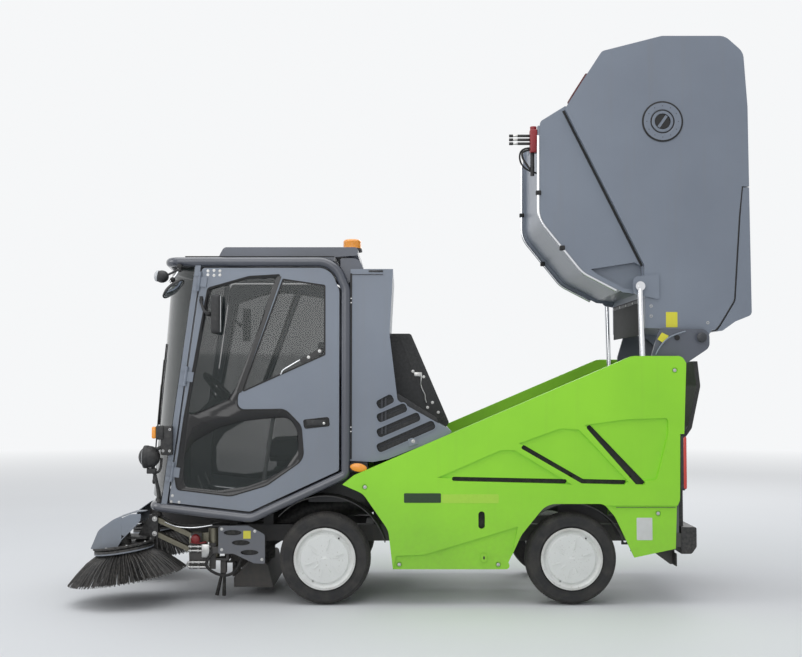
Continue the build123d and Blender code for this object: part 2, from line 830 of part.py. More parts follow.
# Door hinges: a pin line in the gap between pillar and door; columns: height of the middle
hinge_table = [780, 1340, 1900]
hinge_y = door_outer_y + 10
hinge_pin_radius = 4.0
hinge_radius = 9.0
knuckle_half = 30.0
hinge_half = 58.0
hinge_line = inset(cab_rows, 2 * hoop_tube_radius + door_seal_gap / 2)
hinge_way = Vector(hinge_line[0][0] - hinge_line[5][0], 0, hinge_line[0][1] - hinge_line[5][1]).normalized()
door_knuckles = []
for z in hinge_table:
    middle = Vector(x_on(hinge_line, 0, 5, z), hinge_y, z)
    leaf_plane = Plane(origin=middle, x_dir=(0, 1, 0), z_dir=hinge_way)
    for start, end in ((-hinge_half, -knuckle_half), (knuckle_half, hinge_half)):
        pillar += rod(middle + hinge_way * start, middle + hinge_way * end, hinge_radius)
        leaf_width = hinge_y - pillar_outer_y
        leaf = Pos(-leaf_width / 2, -17, (start + end) / 2) * Box(leaf_width, 34, end - start)
        pillar += leaf_plane * leaf
    pillar += rod(middle - hinge_way * hinge_half, middle + hinge_way * hinge_half, hinge_pin_radius)
    knuckle_reach = hinge_way * (knuckle_half - 1)
    knuckle = rod(middle - knuckle_reach, middle + knuckle_reach, hinge_radius)
    leaf = Pos((door_outer_y - hinge_y) / 2, 22, 0) * Box(hinge_y - door_outer_y, 44, 2 * knuckle_half - 2)
    knuckle += leaf_plane * leaf
    bore_reach = hinge_way * knuckle_half
    knuckle -= rod(middle - bore_reach, middle + bore_reach, hinge_pin_radius + running)
    door_knuckles.append(knuckle)
put("cab_pillars", both(pillar))

# Cab shell: floor, rear wall and roof lie between the tubes
wall_low_z = shell_in[3][1] + 60
floor_end_x = shell_in[5][0] - 20
floor_rows = [
    (shell_out[3][0], wall_low_z - 6, 0),
    shell_out[3],
    shell_out[4],
    (floor_end_x, z_on(shell_out, 4, 5, floor_end_x), 0),
    (floor_end_x, z_on(shell_in, 4, 5, floor_end_x), 0),
    shell_in[4],
    shell_in[3],
    (shell_in[3][0], wall_low_z - 6, 0),
]
wall_rows = [
    (shell_out[3][0], wall_low_z, 0),
    shell_out[2],
    (shell_out[1][0], shell_out[1][1], 0),
    (shell_in[1][0], shell_in[1][1], 0),
    shell_in[2],
    (shell_in[3][0], wall_low_z, 0),
]


def nose_plate(back_x, front_x, half, nose_x, z_low, z_high):
    """A flat plate with a curved front edge."""
    edge = ThreePointArc((front_x, -half), (nose_x, 0), (front_x, half))
    sides = Polyline((front_x, half), (back_x, half), (back_x, -half), (front_x, -half))
    return extrude(Pos(0, 0, z_low) * make_face([edge, sides]), amount=z_high - z_low, dir=(0, 0, 1))


cab_floor = slab(floor_rows, -cab_half, cab_half)
cab_floor += nose_plate(
    1400, sill_front_x - 40, cab_half - 20, sill_nose_x - 30, sill_nose_z - 20, sill_nose_z + 8
)
cab_floor -= frame_clear
put("cab_floor", cab_floor)
put("cab_rear_wall", slab(wall_rows, -cab_half, cab_half))
roof_rows = [
    (roof_front_x - 60, shell_out[0][1], 0),
    (1140, shell_out[0][1] + 2, 0),
    (1100, 2109, 30),
    (300, 2109, 20),
    (300, 2060, 0),
    (shell_out[1][0] + 6, 2050, 0),
    (shell_in[1][0] + 6, shell_in[1][1], 0),
    (roof_front_x - 60, shell_in[0][1], 0),
]
roof = slab(roof_rows, -cab_half, cab_half)
roof += nose_plate(
    roof_front_x - 80, roof_front_x - 40, cab_half - 20, roof_nose_x - hoop_tube_radius - 2,
    shell_in[0][1], shell_out[0][1],
)
roof -= frame_clear
put("roof", roof)

# Doors hang on the sloping front pillar
door_rows = inset(cab_rows, 2 * hoop_tube_radius + door_seal_gap)
door_rows = [(x, z, radius or 20) for x, z, radius in door_rows]
front_pane_rows = [
    (1190, 1864, 30),
    (944, 1934, 60),
    (755, 1945, 10),
    (1004, 1218, 60),
    (1005, 1146, 40),
    (724, 1150, 80),
    (627, 1050, 80),
    (611, 850, 90),
    (831, 696, 120),
    (1042, 633, 120),
    (1363, 672, 30),
    (1374, 739, 30),
    (1324, 1101, 0),
]
rear_pane_rows = [(744, 1918, 10), (490, 1880, 12), (489, 1465, 12), (987, 1241, 12)]
door_inner_y = door_outer_y - door_thick
door = slab(door_rows, door_inner_y, door_outer_y)
panes = []
for rows in (front_pane_rows, rear_pane_rows):
    door -= slab(rows, door_inner_y - 1, door_outer_y + 1)
    panes.append(slab(inset(rows, seat), door_outer_y - 4 - glass_thick, door_outer_y - 4))
handle_rows = [(622, 1085, 14), (612, 1030, 14), (461, 1046, 14), (468, 1102, 14)]
door -= slab(handle_rows, door_outer_y - 10, door_outer_y + 1)
for knuckle in door_knuckles:
    door += knuckle
put_pair("door", door)
put_pair("door_glass", *panes)

# Windscreen: a sheet wrapped round the front, from pillar to pillar
screen_half = hoop_mid_y + 4


def screen_section(z, bulge):
    """The windscreen's section at a height: two arcs and two ends."""
    edge_x = x_on(pillar_front, 0, 5, z) + seat + glass_thick
    outer = ThreePointArc((edge_x, -screen_half, z), (edge_x + bulge, 0, z), (edge_x, screen_half, z))
    inner = ThreePointArc(
        (edge_x - glass_thick, -screen_half, z), (edge_x + bulge - glass_thick, 0, z),
        (edge_x - glass_thick, screen_half, z),
    )
    return make_face([outer, Line(outer @ 1, inner @ 1), inner, Line(inner @ 0, outer @ 0)])


low_section = screen_section(screen_low_z, screen_low_bulge)
high_section = screen_section(screen_high_z, screen_high_bulge)
windscreen = loft([low_section, high_section], ruled=True)
put("windscreen", windscreen)

# Seat and controls, on the cab floor
cab_inside = slab(inset(cab_rows, hoop_tube_radius + cab_sheet / 2 + seat), -cab_half, cab_half)
seat_x = 620.0
cushion_top_z = 950.0
driver_seat = block(seat_x - 120, seat_x + 260, -240, 240, cushion_top_z - 120, cushion_top_z)
driver_seat += slab(
    [
        (seat_x - 150, cushion_top_z - 60, 20),
        (seat_x - 60, cushion_top_z - 60, 0),
        (seat_x - 120, cushion_top_z + 610, 30),
        (seat_x - 215, cushion_top_z + 610, 30),
    ],
    -225, 225,
)
driver_seat += block(seat_x - 60, seat_x + 200, -160, 160, 520, cushion_top_z - 110) & cab_inside
put("driver_seat", driver_seat)
wheel_hub = Vector(1180, 0, 1230)
dash = block(1320, 1385, -380, 380, 520, 1050) & cab_inside
dash += block(1320, 1450, -380, 380, 930, 1050)
dash += rod((1380, 0, 1040), tuple(wheel_hub), 30)
wheel_plane = Plane(origin=wheel_hub, x_dir=(0, 1, 0), z_dir=(-200, 0, 190))
dash += wheel_plane * Torus(170, 14)
for turn in (90, 210, 330):
    dash += wheel_plane * Rot(0, 0, turn) * Pos(85, 0, 0) * Box(170, 26, 12)
put("dashboard", dash)

# Beacon
beacon_x = 345.0
beacon_y = 300.0
beacon_foot_z = 2109 + seat
beacon_foot_height = 20.0
beacon_dome_height = 58.0
beacon_dome_z = beacon_foot_z + beacon_foot_height
standing = (Align.CENTER, Align.CENTER, Align.MIN)
beacon = Pos(beacon_x, beacon_y, beacon_foot_z) * Cylinder(62, beacon_foot_height, align=standing)
beacon += Pos(beacon_x, beacon_y, beacon_dome_z) * Cylinder(56, beacon_dome_height, align=standing)
put("beacon", beacon)

# Headlamps on stalks at the front corners, with an indicator above each
lamp_x = 1518.0
lamp_y = 622.0
lamp_z = 868.0
lamp_radius = 66.0
stalk_radius = 9.0
headlamp = Pos(lamp_x, lamp_y, lamp_z) * Sphere(lamp_radius)
headlamp += rod(
    (lamp_x - 50, lamp_y - 40, sill_front_z), (lamp_x - 6, lamp_y, lamp_z - 40), stalk_radius
) - frame_clear
headlamp = max(headlamp.solids(), key=lambda piece: piece.volume)
indicator_z = 1010.0
indicator_half = 50.0
indicator_x = x_on(pillar_front, 0, 5, indicator_z)
indicator = block(
    indicator_x - 25, indicator_x + 95, pillar_outer_y + seat, pillar_outer_y + indicator_half,
    indicator_z - indicator_half, indicator_z + indicator_half,
)
put("headlamps", both(headlamp), both(indicator))

# Mirrors: one on each door and a kerb mirror under each roof corner
mirror_foot_x = 1224.0
mirror_foot_z = 1790.0
mirror_foot_y = door_outer_y + 12
door_mirror = block(1095, 1155, 655, 705, 1586, 1820)
door_mirror += rod(
    (mirror_foot_x, door_outer_y + seat, mirror_foot_z), (mirror_foot_x, mirror_foot_y + 2, mirror_foot_z), 13
)
door_mirror += rod((mirror_foot_x, mirror_foot_y, mirror_foot_z), (1125, 680, 1720), stalk_radius)
put_pair("door_mirror", door_mirror)
kerb_mirror_x = 1400.0
kerb_mirror_y = 640.0
kerb_mirror_z = 1860.0
kerb_mirror_radius = 60.0
kerb_mirror = Pos(kerb_mirror_x, kerb_mirror_y, kerb_mirror_z) * Sphere(kerb_mirror_radius)
kerb_stalk = rod(
    (kerb_mirror_x, 570, tube_rows[0][1]), (kerb_mirror_x, kerb_mirror_y, kerb_mirror_z + 20), stalk_radius
)
kerb_mirror += kerb_stalk - frame_clear
put("kerb_mirrors", both(max(kerb_mirror.solids(), key=lambda piece: piece.volume)))

# Brush gear on each side
link_turn = radians(link_rise)
head_x = link_rear_x + link_length * cos(link_turn)
head_z = link_rear_z + link_length * sin(link_turn)
link_half_width = 22.0
link_height = 28.0
link_eye_radius = 17.0
yoke_half = 34.0
yoke_plate = 8.0
yoke_reach = 22.0
yoke_back = 12.0
sleeve_radius = 34.0
motor_radius = 48.0
motor_length = 90.0
motor_shaft_radius = 15.0
shaft_bore = motor_shaft_radius + running
deck_low = 18.0
deck_thick = 8.0
deck_radius = 178.0
guard_thick = 4.0
guard_outer_y = 612.0
y = swing_pin_y
sleeve_low = swing_mid_z - swing_half + swing_plate + 5
sleeve_high = swing_mid_z + swing_half - swing_plate - 5
yoke_low_z = link_rear_z - link_spacing - yoke_reach
yoke_high_z = link_rear_z + yoke_reach
carrier = rod((swing_pin_x, y, sleeve_low), (swing_pin_x, y, sleeve_high), sleeve_radius)
carrier += block(swing_pin_x, link_rear_x - 40, y - 10, y + 10, yoke_low_z, yoke_high_z)
for y0 in (y - yoke_half, y + yoke_half - yoke_plate):
    carrier += block(link_rear_x - 44, link_rear_x + yoke_reach, y0, y0 + yoke_plate, yoke_low_z, yoke_high_z)
yoke_rear_x = link_rear_x - 48
carrier += block(yoke_rear_x, yoke_rear_x + yoke_back, y - yoke_half, y + yoke_half, yoke_low_z, yoke_high_z)
for z in (link_rear_z, link_rear_z - link_spacing):
    carrier += rod((link_rear_x, y - yoke_half, z), (link_rear_x, y + yoke_half, z), link_pin_radius)
carrier -= rod(
    (swing_pin_x, y, sleeve_low - 1), (swing_pin_x, y, sleeve_high + 1), swing_pin_radius + running
)
put_pair("brush_carrier", carrier)
for row, drop in (("upper", 0), ("lower", link_spacing)):
    rear = Vector(link_rear_x, y, link_rear_z - drop)
    front = Vector(head_x, y, head_z - drop)
    bar = Plane(origin=(rear + front) * 0.5, x_dir=front - rear, z_dir=(-sin(link_turn), 0, cos(link_turn)))
    link = bar * Box(link_length, 2 * link_half_width, link_height)
    across = Vector(0, link_half_width, 0)
    for end in (rear, front):
        link += rod(end - across, end + across, link_eye_radius)
        link -= rod(end - across * 2, end + across * 2, link_pin_radius + running)
    put_pair(f"brush_link_{row}", link)
head_low_z = head_z - link_spacing - yoke_reach
head_high_z = head_z + yoke_reach
head_back_x = head_x + 22
head = block(head_back_x, head_back_x + yoke_back, y - yoke_half, y + yoke_half, head_low_z, head_high_z)
for y0 in (y - yoke_half, y + yoke_half - yoke_plate):
    head += block(head_x - 20, head_back_x + 2, y0, y0 + yoke_plate, head_low_z, head_high_z)
for z in (head_z, head_z - link_spacing):
    head += rod((head_x, y - yoke_half, z), (head_x, y + yoke_half, z), link_pin_radius)
head += block(head_back_x + 8, brush_x + 30, y - yoke_half, brush_y + 40, brush_z + 60, brush_z + 72)
lean = Location((brush_x, brush_y, brush_z), (0, brush_tilt, 0))
head += lean * Pos(0, 0, 25) * Cylinder(motor_radius, motor_length, align=standing)
head += lean * Pos(0, 0, -8) * Cylinder(motor_shaft_radius, 40, align=standing)
deck_plane = lean * Pos(0, 0, deck_low)
head += deck_plane * Cylinder(deck_radius, deck_thick, align=standing)
gusset_rows = [
    (head_back_x + 10, 487, 0),
    (head_back_x + 24, 490, 0),
    (1640, 350, 0),
    (head_back_x + 10, 362, 0),
]
head += slab(gusset_rows, y + 20, y + 26)
put_pair("brush_head", head)

# Brush guards: an arched top sheet with an outer flange, on the deck
guard_rows = [
    (1860, 330, 0),
    (1815, 440, 70),
    (1724, 505, 130),
    (1630, 536, 60),
    (1565, 538, 0),
    (1565, 506, 0),
    (1600, 462, 40),
    (1668, 395, 80),
    (1710, 330, 0),
]
guard_plan = [
    (1565, y + 12, 0),
    (1565, y + 52, 20),
    (1700, guard_outer_y, 60),
    (1870, guard_outer_y, 0),
    (1870, y - 20, 30),
    (1740, y - 20, 60),
]
guard_inside = inset(guard_rows, guard_thick)[:5]
guard_sheet_rows = guard_rows[:5] + guard_inside[::-1]
guard = slab(guard_sheet_rows, y - 60, guard_outer_y + 40) & plan_slab(guard_plan, 300, 600)
guard_flange = slab(guard_rows, guard_outer_y - guard_thick, guard_outer_y)
guard += guard_flange & block(1680, 1900, y, guard_outer_y, 300, 600)
guard_foot = lean * Pos(0, 0, deck_low + deck_thick + seat - 300)
guard -= guard_foot * Cylinder(600, 300, align=(Align.CENTER, Align.CENTER, Align.MIN))
put_pair("brush_guard", guard)
bristle_rows = [
    (shaft_bore, 14, 0),
    (brush_disc_radius - 30, 14, 0),
    (brush_disc_radius, 4, 0),
    (brush_disc_radius, -10, 0),
    (bristle_tip_radius, -bristle_drop + 8, 0),
    (bristle_tip_radius - 60, -bristle_drop, 0),
    (brush_disc_radius - 70, -12, 0),
    (shaft_bore, -12, 0),
]
put_pair("brush", lean * revolve(Plane.XZ * outline(bristle_rows), axis=Axis.Z))

# Hopper body: sides, belly and a notch for the suction shroud
outer_body = slab(hopper_side_rows, -hopper_half_width, hopper_half_width)
outer_body += slab(belly_rows, -belly_half_width, belly_half_width)
inner_side_rows = inset(hopper_side_rows, hopper_wall)
inner_body = slab(inner_side_rows, -hopper_half_width + hopper_wall, hopper_half_width - hopper_wall)
inner_belly_rows = inset(belly_rows, hopper_wall)
inner_belly_rows[0] = (-1440, 2030, 0)
inner_belly_rows[1] = (-1000, 2910, 0)
inner_belly_rows[6] = (-1440, 1862, 0)
inner_body += slab(inner_belly_rows, -belly_half_width + hopper_wall, belly_half_width - hopper_wall)
# The notch widens downwards, for the shroud's rear corner swings out through it as the hopper rises.
notch_down = [
    (200, 1604 + hopper_gap),
    (-17 - hopper_gap, 1604 + hopper_gap),
    (-270 - hopper_gap, 1020),
    (-374 - hopper_gap, 795),
    (-374 - hopper_gap, 700),
    (200, 700),
]
notch_half = shroud_half + hopper_gap
notch_rows = [(*raised(x, z), 0) for x, z in notch_down]
notch = slab(notch_rows, -notch_half, notch_half)
notch_wall = slab(inset(notch_rows, -hopper_wall), -notch_half - hopper_wall, notch_half + hopper_wall)
door_mouth = slab(
    [
        (-2060, 2468, 0), (-2000, 2468, 0), (-1940, 1800, 0),
        (-1858, 1652, 0), (-1880, 1600, 0), (-2060, 1600, 0),
    ],
    -hopper_half_width + hopper_wall, hopper_half_width - hopper_wall,
)
recess_rows = [(-1100, 1985, 0), (-1366, 2026, 0), (-1408, 2000, 0), (-1408, 1830, 0), (-1302, 1830, 0)]
recess_depth = 45.0
flange_width = 18.0
flange_thick = 6.0
cap_x = -1531.0
cap_z = 2873.0
cap_profile = [
    (0, -2, 0),
    (122, -2, 0),
    (122, 3, 0),
    (114, 6, 0),
    (76, 6, 0),
    (72, 3, 0),
    (66, 3, 0),
    (62, 7, 0),
    (48, 7, 0),
    (46, 1, 0),
    (0, 1, 0),
]
cap_bar_length = 84.0
pivot_lug_radius = 46.0
pivot_lug_thick = 14.0
eye_plate_thick = 12.0
pivot_lug_rows = [
    (hopper_pivot_x - 92, 1650, 0),
    (hopper_pivot_x - pivot_lug_radius * 0.94, hopper_pivot_z - 12, 0),
    (hopper_pivot_x + pivot_lug_radius * 0.87, hopper_pivot_z - 20, 0),
    (hopper_pivot_x + 150, 1650, 0),
]
for side in (1, -1):
    belly_face = side * belly_half_width
    outer_body -= slab(recess_rows, belly_face - side * recess_depth, belly_face + side)
    recess_floor = belly_face - side * (recess_depth + hopper_wall)
    inner_body -= slab(inset(recess_rows, -hopper_wall), recess_floor, belly_face)
flange = slab(inset(belly_rows, -flange_width), belly_half_width - flange_thick, belly_half_width)
flange -= slab(inset(belly_rows, flange_thick), belly_half_width - flange_thick - 1, belly_half_width + 1)
for half in both(flange):
    outer_body += half
hopper = outer_body - notch - (inner_body - notch_wall) - door_mouth
cap = revolve(Plane.XZ * outline(cap_profile), axis=Axis.Z)
cap += Rot(0, 0, 55) * Pos(0, 0, 3) * Box(cap_bar_length, 16, 6)
cap_plane = Plane(origin=(cap_x, hopper_half_width, cap_z), x_dir=(1, 0, 0), z_dir=(0, 1, 0))
hopper += both(cap_plane * cap)
for side in (1, -1):
    lug_faces = (side * (hopper_half_width - pivot_lug_thick), side * hopper_half_width)
    bracket = slab(pivot_lug_rows, *lug_faces)
    bracket += rod(
        (hopper_pivot_x, lug_faces[0], hopper_pivot_z), (hopper_pivot_x, lug_faces[1], hopper_pivot_z),
        pivot_lug_radius,
    )
    bracket += slab(
        [(-1500, 1800, 10), (-1500, 1950, 10), (-1345, 1935, 30), (-1345, 1830, 30)],
        side * hopper_half_width, side * (hopper_half_width + eye_plate_thick),
    )
    hopper += bracket
hopper -= rod(
    (hopper_pivot_x, -600, hopper_pivot_z), (hopper_pivot_x, 600, hopper_pivot_z), hopper_pin_radius + running
)
dump_hinge_table = [-360, 0, 360]
dump_hinge_x = -2048.0
dump_hinge_z = 2477.0
dump_hinge_radius = 9.0
dump_pin_radius = 5.0
for y in dump_hinge_table:
    hopper -= rod(
        (dump_hinge_x, y - 31, dump_hinge_z), (dump_hinge_x, y + 31, dump_hinge_z), dump_hinge_radius + 4
    )
    for start, end in ((y - 60, y - 31), (y + 31, y + 60)):
        hopper += rod(
            (dump_hinge_x, start, dump_hinge_z), (dump_hinge_x, end, dump_hinge_z), dump_hinge_radius
        )
    hopper += rod((dump_hinge_x, y - 60, dump_hinge_z), (dump_hinge_x, y + 60, dump_hinge_z), dump_pin_radius)
put("hopper_body", hopper)

# Pipes clipped on the flanges along the belly's front edges
pipe_radius = 9.0
pipe_y = belly_half_width - flange_thick / 2
pipe_rows = inset(belly_rows, -flange_width - pipe_radius - seat)[2:6]
pipe_end_x = pipe_rows[3][0] + 40
pipe_top_z = pipe_rows[0][1] - 90
pipe_points = [(x_on(pipe_rows, 0, 1, pipe_top_z), pipe_y, pipe_top_z)]
pipe_points += [(x, pipe_y, z) for x, z, radius in pipe_rows[1:3]]
pipe_points.append((pipe_end_x, pipe_y, z_on(pipe_rows, 2, 3, pipe_end_x)))
pipe_path = FilletPolyline(*pipe_points, radius=[pipe_rows[1][2], pipe_rows[2][2]])
pipe_section = Plane(origin=pipe_path @ 0, z_dir=pipe_path % 0) * Circle(pipe_radius)
put("flange_pipes", both(sweep(pipe_section, path=pipe_path)))

# Hopper door
hopper_door = slab(hopper_door_rows, -hopper_half_width, hopper_half_width)
hopper_door -= slab(
    [
        (-2036, 2462, 0),
        (-2042, 1716, 20),
        (-1952, 1680, 20),
        (-1884, 1636, 0),
        (-1850, 1660, 0),
        (-1900, 1791, 0),
        (-1960, 2300, 0),
        (-1980, 2462, 0),
    ],
    -hopper_half_width + hopper_wall, hopper_half_width - hopper_wall,
)
for y in dump_hinge_table:
    for start, end in ((y - 64, y - 30), (y + 30, y + 64)):
        hopper_door -= rod(
            (dump_hinge_x, start, dump_hinge_z), (dump_hinge_x, end, dump_hinge_z), dump_hinge_radius + 4
        )
    hopper_door += rod(
        (dump_hinge_x, y - 30, dump_hinge_z), (dump_hinge_x, y + 30, dump_hinge_z), dump_hinge_radius
    )
    hopper_door -= rod(
        (dump_hinge_x, y - 64, dump_hinge_z), (dump_hinge_x, y + 64, dump_hinge_z), dump_pin_radius + running
    )
put("hopper_door", hopper_door)

# Lift cylinders
ram_way = Vector(ram_eye_x - ram_base_x, 0, ram_eye_z - ram_base_z).normalized()
barrels = []
rods = []
for side in (1, -1):
    y = side * ram_y
    base = Vector(ram_base_x, y, ram_base_z)
    eye = Vector(ram_eye_x, y, ram_eye_z)
    top = base + ram_way * ram_barrel_length
    barrel = rod(tuple(base + ram_way * 44), tuple(top), ram_barrel_radius)
    barrel += rod(tuple(base), tuple(base + ram_way * 46), ram_boss_half)
    barrel += rod(
        (ram_base_x, y - ram_boss_half, ram_base_z), (ram_base_x, y + ram_boss_half, ram_base_z), 26
    )
    barrel -= rod(
        (ram_base_x, y - 20, ram_base_z), (ram_base_x, y + 20, ram_base_z), ram_pin_radius + running
    )
    barrel -= rod(tuple(base + ram_way * 52), tuple(top + ram_way), ram_rod_radius + running)
    barrels.append(barrel)
    piston = rod(tuple(base + ram_way * (ram_barrel_length - 60)), tuple(eye), ram_rod_radius)
    piston += rod((ram_eye_x, y - ram_boss_half, ram_eye_z), (ram_eye_x, y + ram_boss_half, ram_eye_z), 28)
    piston += rod(
        (ram_eye_x, side * (hopper_half_width + eye_plate_thick + seat), ram_eye_z),
        (ram_eye_x, side * (ram_y + 22), ram_eye_z), ram_pin_radius,
    )
    rods.append(piston)
put("lift_barrels", barrels)
put("lift_rods", rods)
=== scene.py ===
import math
import random

import bpy
from mathutils import Matrix, Vector


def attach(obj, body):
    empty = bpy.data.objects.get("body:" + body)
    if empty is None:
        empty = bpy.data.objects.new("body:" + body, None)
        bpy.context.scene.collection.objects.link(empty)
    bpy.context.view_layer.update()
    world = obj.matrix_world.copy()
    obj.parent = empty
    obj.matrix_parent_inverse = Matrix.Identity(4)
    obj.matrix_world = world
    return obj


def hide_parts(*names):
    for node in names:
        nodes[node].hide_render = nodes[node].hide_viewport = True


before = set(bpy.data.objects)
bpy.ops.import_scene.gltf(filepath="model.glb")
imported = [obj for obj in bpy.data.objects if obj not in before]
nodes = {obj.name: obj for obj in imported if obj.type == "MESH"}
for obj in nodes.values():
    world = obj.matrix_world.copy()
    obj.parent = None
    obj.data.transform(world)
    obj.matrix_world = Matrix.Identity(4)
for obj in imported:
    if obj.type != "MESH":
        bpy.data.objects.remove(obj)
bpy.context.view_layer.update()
random.seed(7)
sides = ("left", "right")
axles = {"front": 0.491, "rear": -0.957}
axleHeight = 0.27


# Shader sums: a socket that can be added, subtracted, multiplied and divided
class Flow:
    def __init__(self, tree, socket):
        self.tree = tree
        self.socket = socket

    def sum(self, operation, *values):
        maths = self.tree.nodes.new("ShaderNodeMath")
        maths.operation = operation
        for slot, value in zip(maths.inputs, values):
            if isinstance(value, Flow):
                self.tree.links.new(value.socket, slot)
            else:
                slot.default_value = value
        return Flow(self.tree, maths.outputs[0])

    def __add__(self, other):
        return self.sum("ADD", self, other)

    __radd__ = __add__

    def __sub__(self, other):
        return self.sum("SUBTRACT", self, other)

    def __rsub__(self, other):
        return self.sum("SUBTRACT", other, self)

    def __mul__(self, other):
        return self.sum("MULTIPLY", self, other)

    __rmul__ = __mul__

    def __truediv__(self, other):
        return self.sum("DIVIDE", self, other)

    def ramp(self, low, high):
        # 0 at low, 1 at high, held at both ends
        span = (self - low) / (high - low)
        return self.sum("MINIMUM", self.sum("MAXIMUM", span, 0.0), 1.0)


class Finish:
    # one material, built node by node
    def __init__(self, name):
        self.material = bpy.data.materials.new(name)
        self.material.use_nodes = True
        self.tree = self.material.node_tree
        self.tree.nodes.clear()
        self.place = self.node("ShaderNodeTexCoord", {}, {}, "Object")

    def node(self, kind, settings, values, output=0):
        made = self.tree.nodes.new(kind)
        for key, value in settings.items():
            setattr(made, key, value)
        for key, value in values.items():
            if isinstance(value, Flow):
                self.tree.links.new(value.socket, made.inputs[key])
            else:
                made.inputs[key].default_value = value
        return Flow(self.tree, made.outputs[output]) if len(made.outputs) else made

    def mapped(self, scale, shift=(0, 0, 0), turn=(0, 0, 0)):
        return self.node(
            "ShaderNodeMapping", {},
            {"Vector": self.place, "Scale": scale, "Location": shift, "Rotation": turn}
        )

    def noise(self, scale, detail=3.0, where=None):
        return self.node(
            "ShaderNodeTexNoise", {}, {"Vector": where or self.place, "Scale": scale, "Detail": detail},
            "Fac"
        )

    def along(self, axis, where=None):
        return self.node("ShaderNodeSeparateXYZ", {}, {0: where or self.place}, axis)

    def fromAxle(self, axleX):
        # a place seen from an axle along Y, and its distance from that axle
        centred = self.mapped((1, 1, 1), (-axleX, 0, -axleHeight))
        flat = self.node("ShaderNodeVectorMath", {"operation": "MULTIPLY"}, {0: centred, 1: (1, 0, 1)})
        return centred, self.node("ShaderNodeVectorMath", {"operation": "LENGTH"}, {0: flat}, "Value")

    def mix(self, share, first, second):
        return self.node("ShaderNodeMix", {"data_type": "RGBA"}, {0: share, 6: first, 7: second}, 2)

    def bump(self, height, strength, distance=0.001, under=None):
        values = {"Height": height, "Strength": strength, "Distance": distance}
        if under:
            values["Normal"] = under
        return self.node("ShaderNodeBump", {}, values)

    def close(self, **values):
        shader = self.node(
            "ShaderNodeBsdfPrincipled", {}, {key.replace("_", " "): value for key, value in values.items()}
        )
        self.node("ShaderNodeOutputMaterial", {}, {"Surface": shader})
        return self.material


def full(colour):
    return (*colour, 1.0)


def paint(name, look):
    # satin or gloss paint: soft change of tone, fine orange peel, road dust low down and thin rain streaks
    made = Finish(name)
    height = made.along("Z")
    cloud = made.noise(1.6, 4.0)
    grain = made.noise(34.0, 5.0)
    streaks = made.noise(1.0, 4.0, made.mapped((26.0, 26.0, 1.1)))
    low = 1 - height.ramp(look["dustFrom"], look["dustTo"])
    dust = (
        low * (grain * 0.9 + cloud * 0.5) * look["dust"] + (streaks.ramp(0.56, 0.74) * look["streak"])
    ).ramp(0.0, 1.0)
    tone = made.mix(cloud.ramp(0.3, 0.7), full(look["colour"]), full(look["deep"]))
    colour = made.mix(dust, tone, full(look["dustColour"]))
    peel = made.bump(made.noise(look["peelScale"], 2.0), look["peel"])
    normal = made.bump(cloud, look["wave"], 0.01, peel)
    rough = look["rough"] + dust * 0.3 + (grain - 0.5) * 0.1
    return made.close(
        Base_Color=colour, Roughness=rough, Metallic=look["metal"], Coat_Weight=look["coat"],
        Coat_Roughness=0.18, Normal=normal
    )


# Paints, with heights in metres
paintColumns = (
    "colour", "deep", "dustColour", "dustFrom", "dustTo", "dust", "streak", "rough", "metal", "coat",
    "peel", "peelScale", "wave"
)
paintTable = {
    "greyPaint": (
        (0.205, 0.235, 0.285), (0.175, 0.2, 0.245), (0.2, 0.19, 0.17), 0.3, 1.4, 0.35, 0.1, 0.42, 0.0, 0.25,
        0.1, 420.0, 0.05
    ),
    # the tube paint is the mast paint made darker, a painted shade for the dark undersides of the cab's
    # round tubes
    "shadedTubePaint": (
        (0.066, 0.073, 0.095), (0.05, 0.056, 0.074), (0.16, 0.15, 0.13), 0.3, 1.0, 0.3, 0.05, 0.3, 0.0,
        0.85, 0.12, 380.0, 0.04
    ),
    "mastPaint": (
        (0.105, 0.116, 0.145), (0.08, 0.088, 0.11), (0.16, 0.15, 0.13), 0.3, 1.0, 0.4, 0.05, 0.4, 0.0, 0.3,
        0.12, 380.0, 0.04
    ),
    "framePaint": (
        (0.045, 0.048, 0.055), (0.028, 0.03, 0.035), (0.13, 0.115, 0.095), 0.1, 0.8, 0.65, 0.12, 0.55, 0.0,
        0.05, 0.25, 260.0, 0.08
    ),
    "greenPaint": (
        (0.325, 0.77, 0.024), (0.262, 0.66, 0.02), (0.22, 0.38, 0.06), 0.15, 0.75, 0.5, 0.06, 0.44, 0.0,
        0.15, 0.08, 300.0, 0.1
    ),
    "guardPaint": (
        (0.23, 0.262, 0.31), (0.19, 0.215, 0.255), (0.16, 0.15, 0.13), 0.2, 0.6, 0.55, 0.08, 0.45, 0.0,
        0.15, 0.15, 380.0, 0.08
    ),
    "zincSteel": (
        (0.275, 0.262, 0.205), (0.175, 0.165, 0.125), (0.1, 0.085, 0.06), 0.1, 0.7, 0.6, 0.15, 0.38, 0.75,
        0.0, 0.15, 120.0, 0.05
    )
}
paintLooks = {name: dict(zip(paintColumns, row)) for name, row in paintTable.items()}


def plastic(name, colour, deep, rough, grainScale=900.0, grain=0.35, dust=0.35):
    # moulded plastic and rubber: fine leather grain and a grey bloom of dust
    made = Finish(name)
    bloom = made.noise(5.0, 5.0).ramp(0.45, 0.8) * dust
    low = (1 - made.along("Z").ramp(0.1, 1.0)) * dust
    colourFlow = made.mix((bloom + low).ramp(0.0, 1.0), full(colour), full((0.115, 0.105, 0.09)))
    tone = made.mix(made.noise(60.0, 3.0).ramp(0.35, 0.65), colourFlow, full(deep))
    normal = made.bump(made.noise(grainScale, 2.0), grain)
    return made.close(Base_Color=tone, Roughness=rough + bloom * 0.25, Normal=normal)


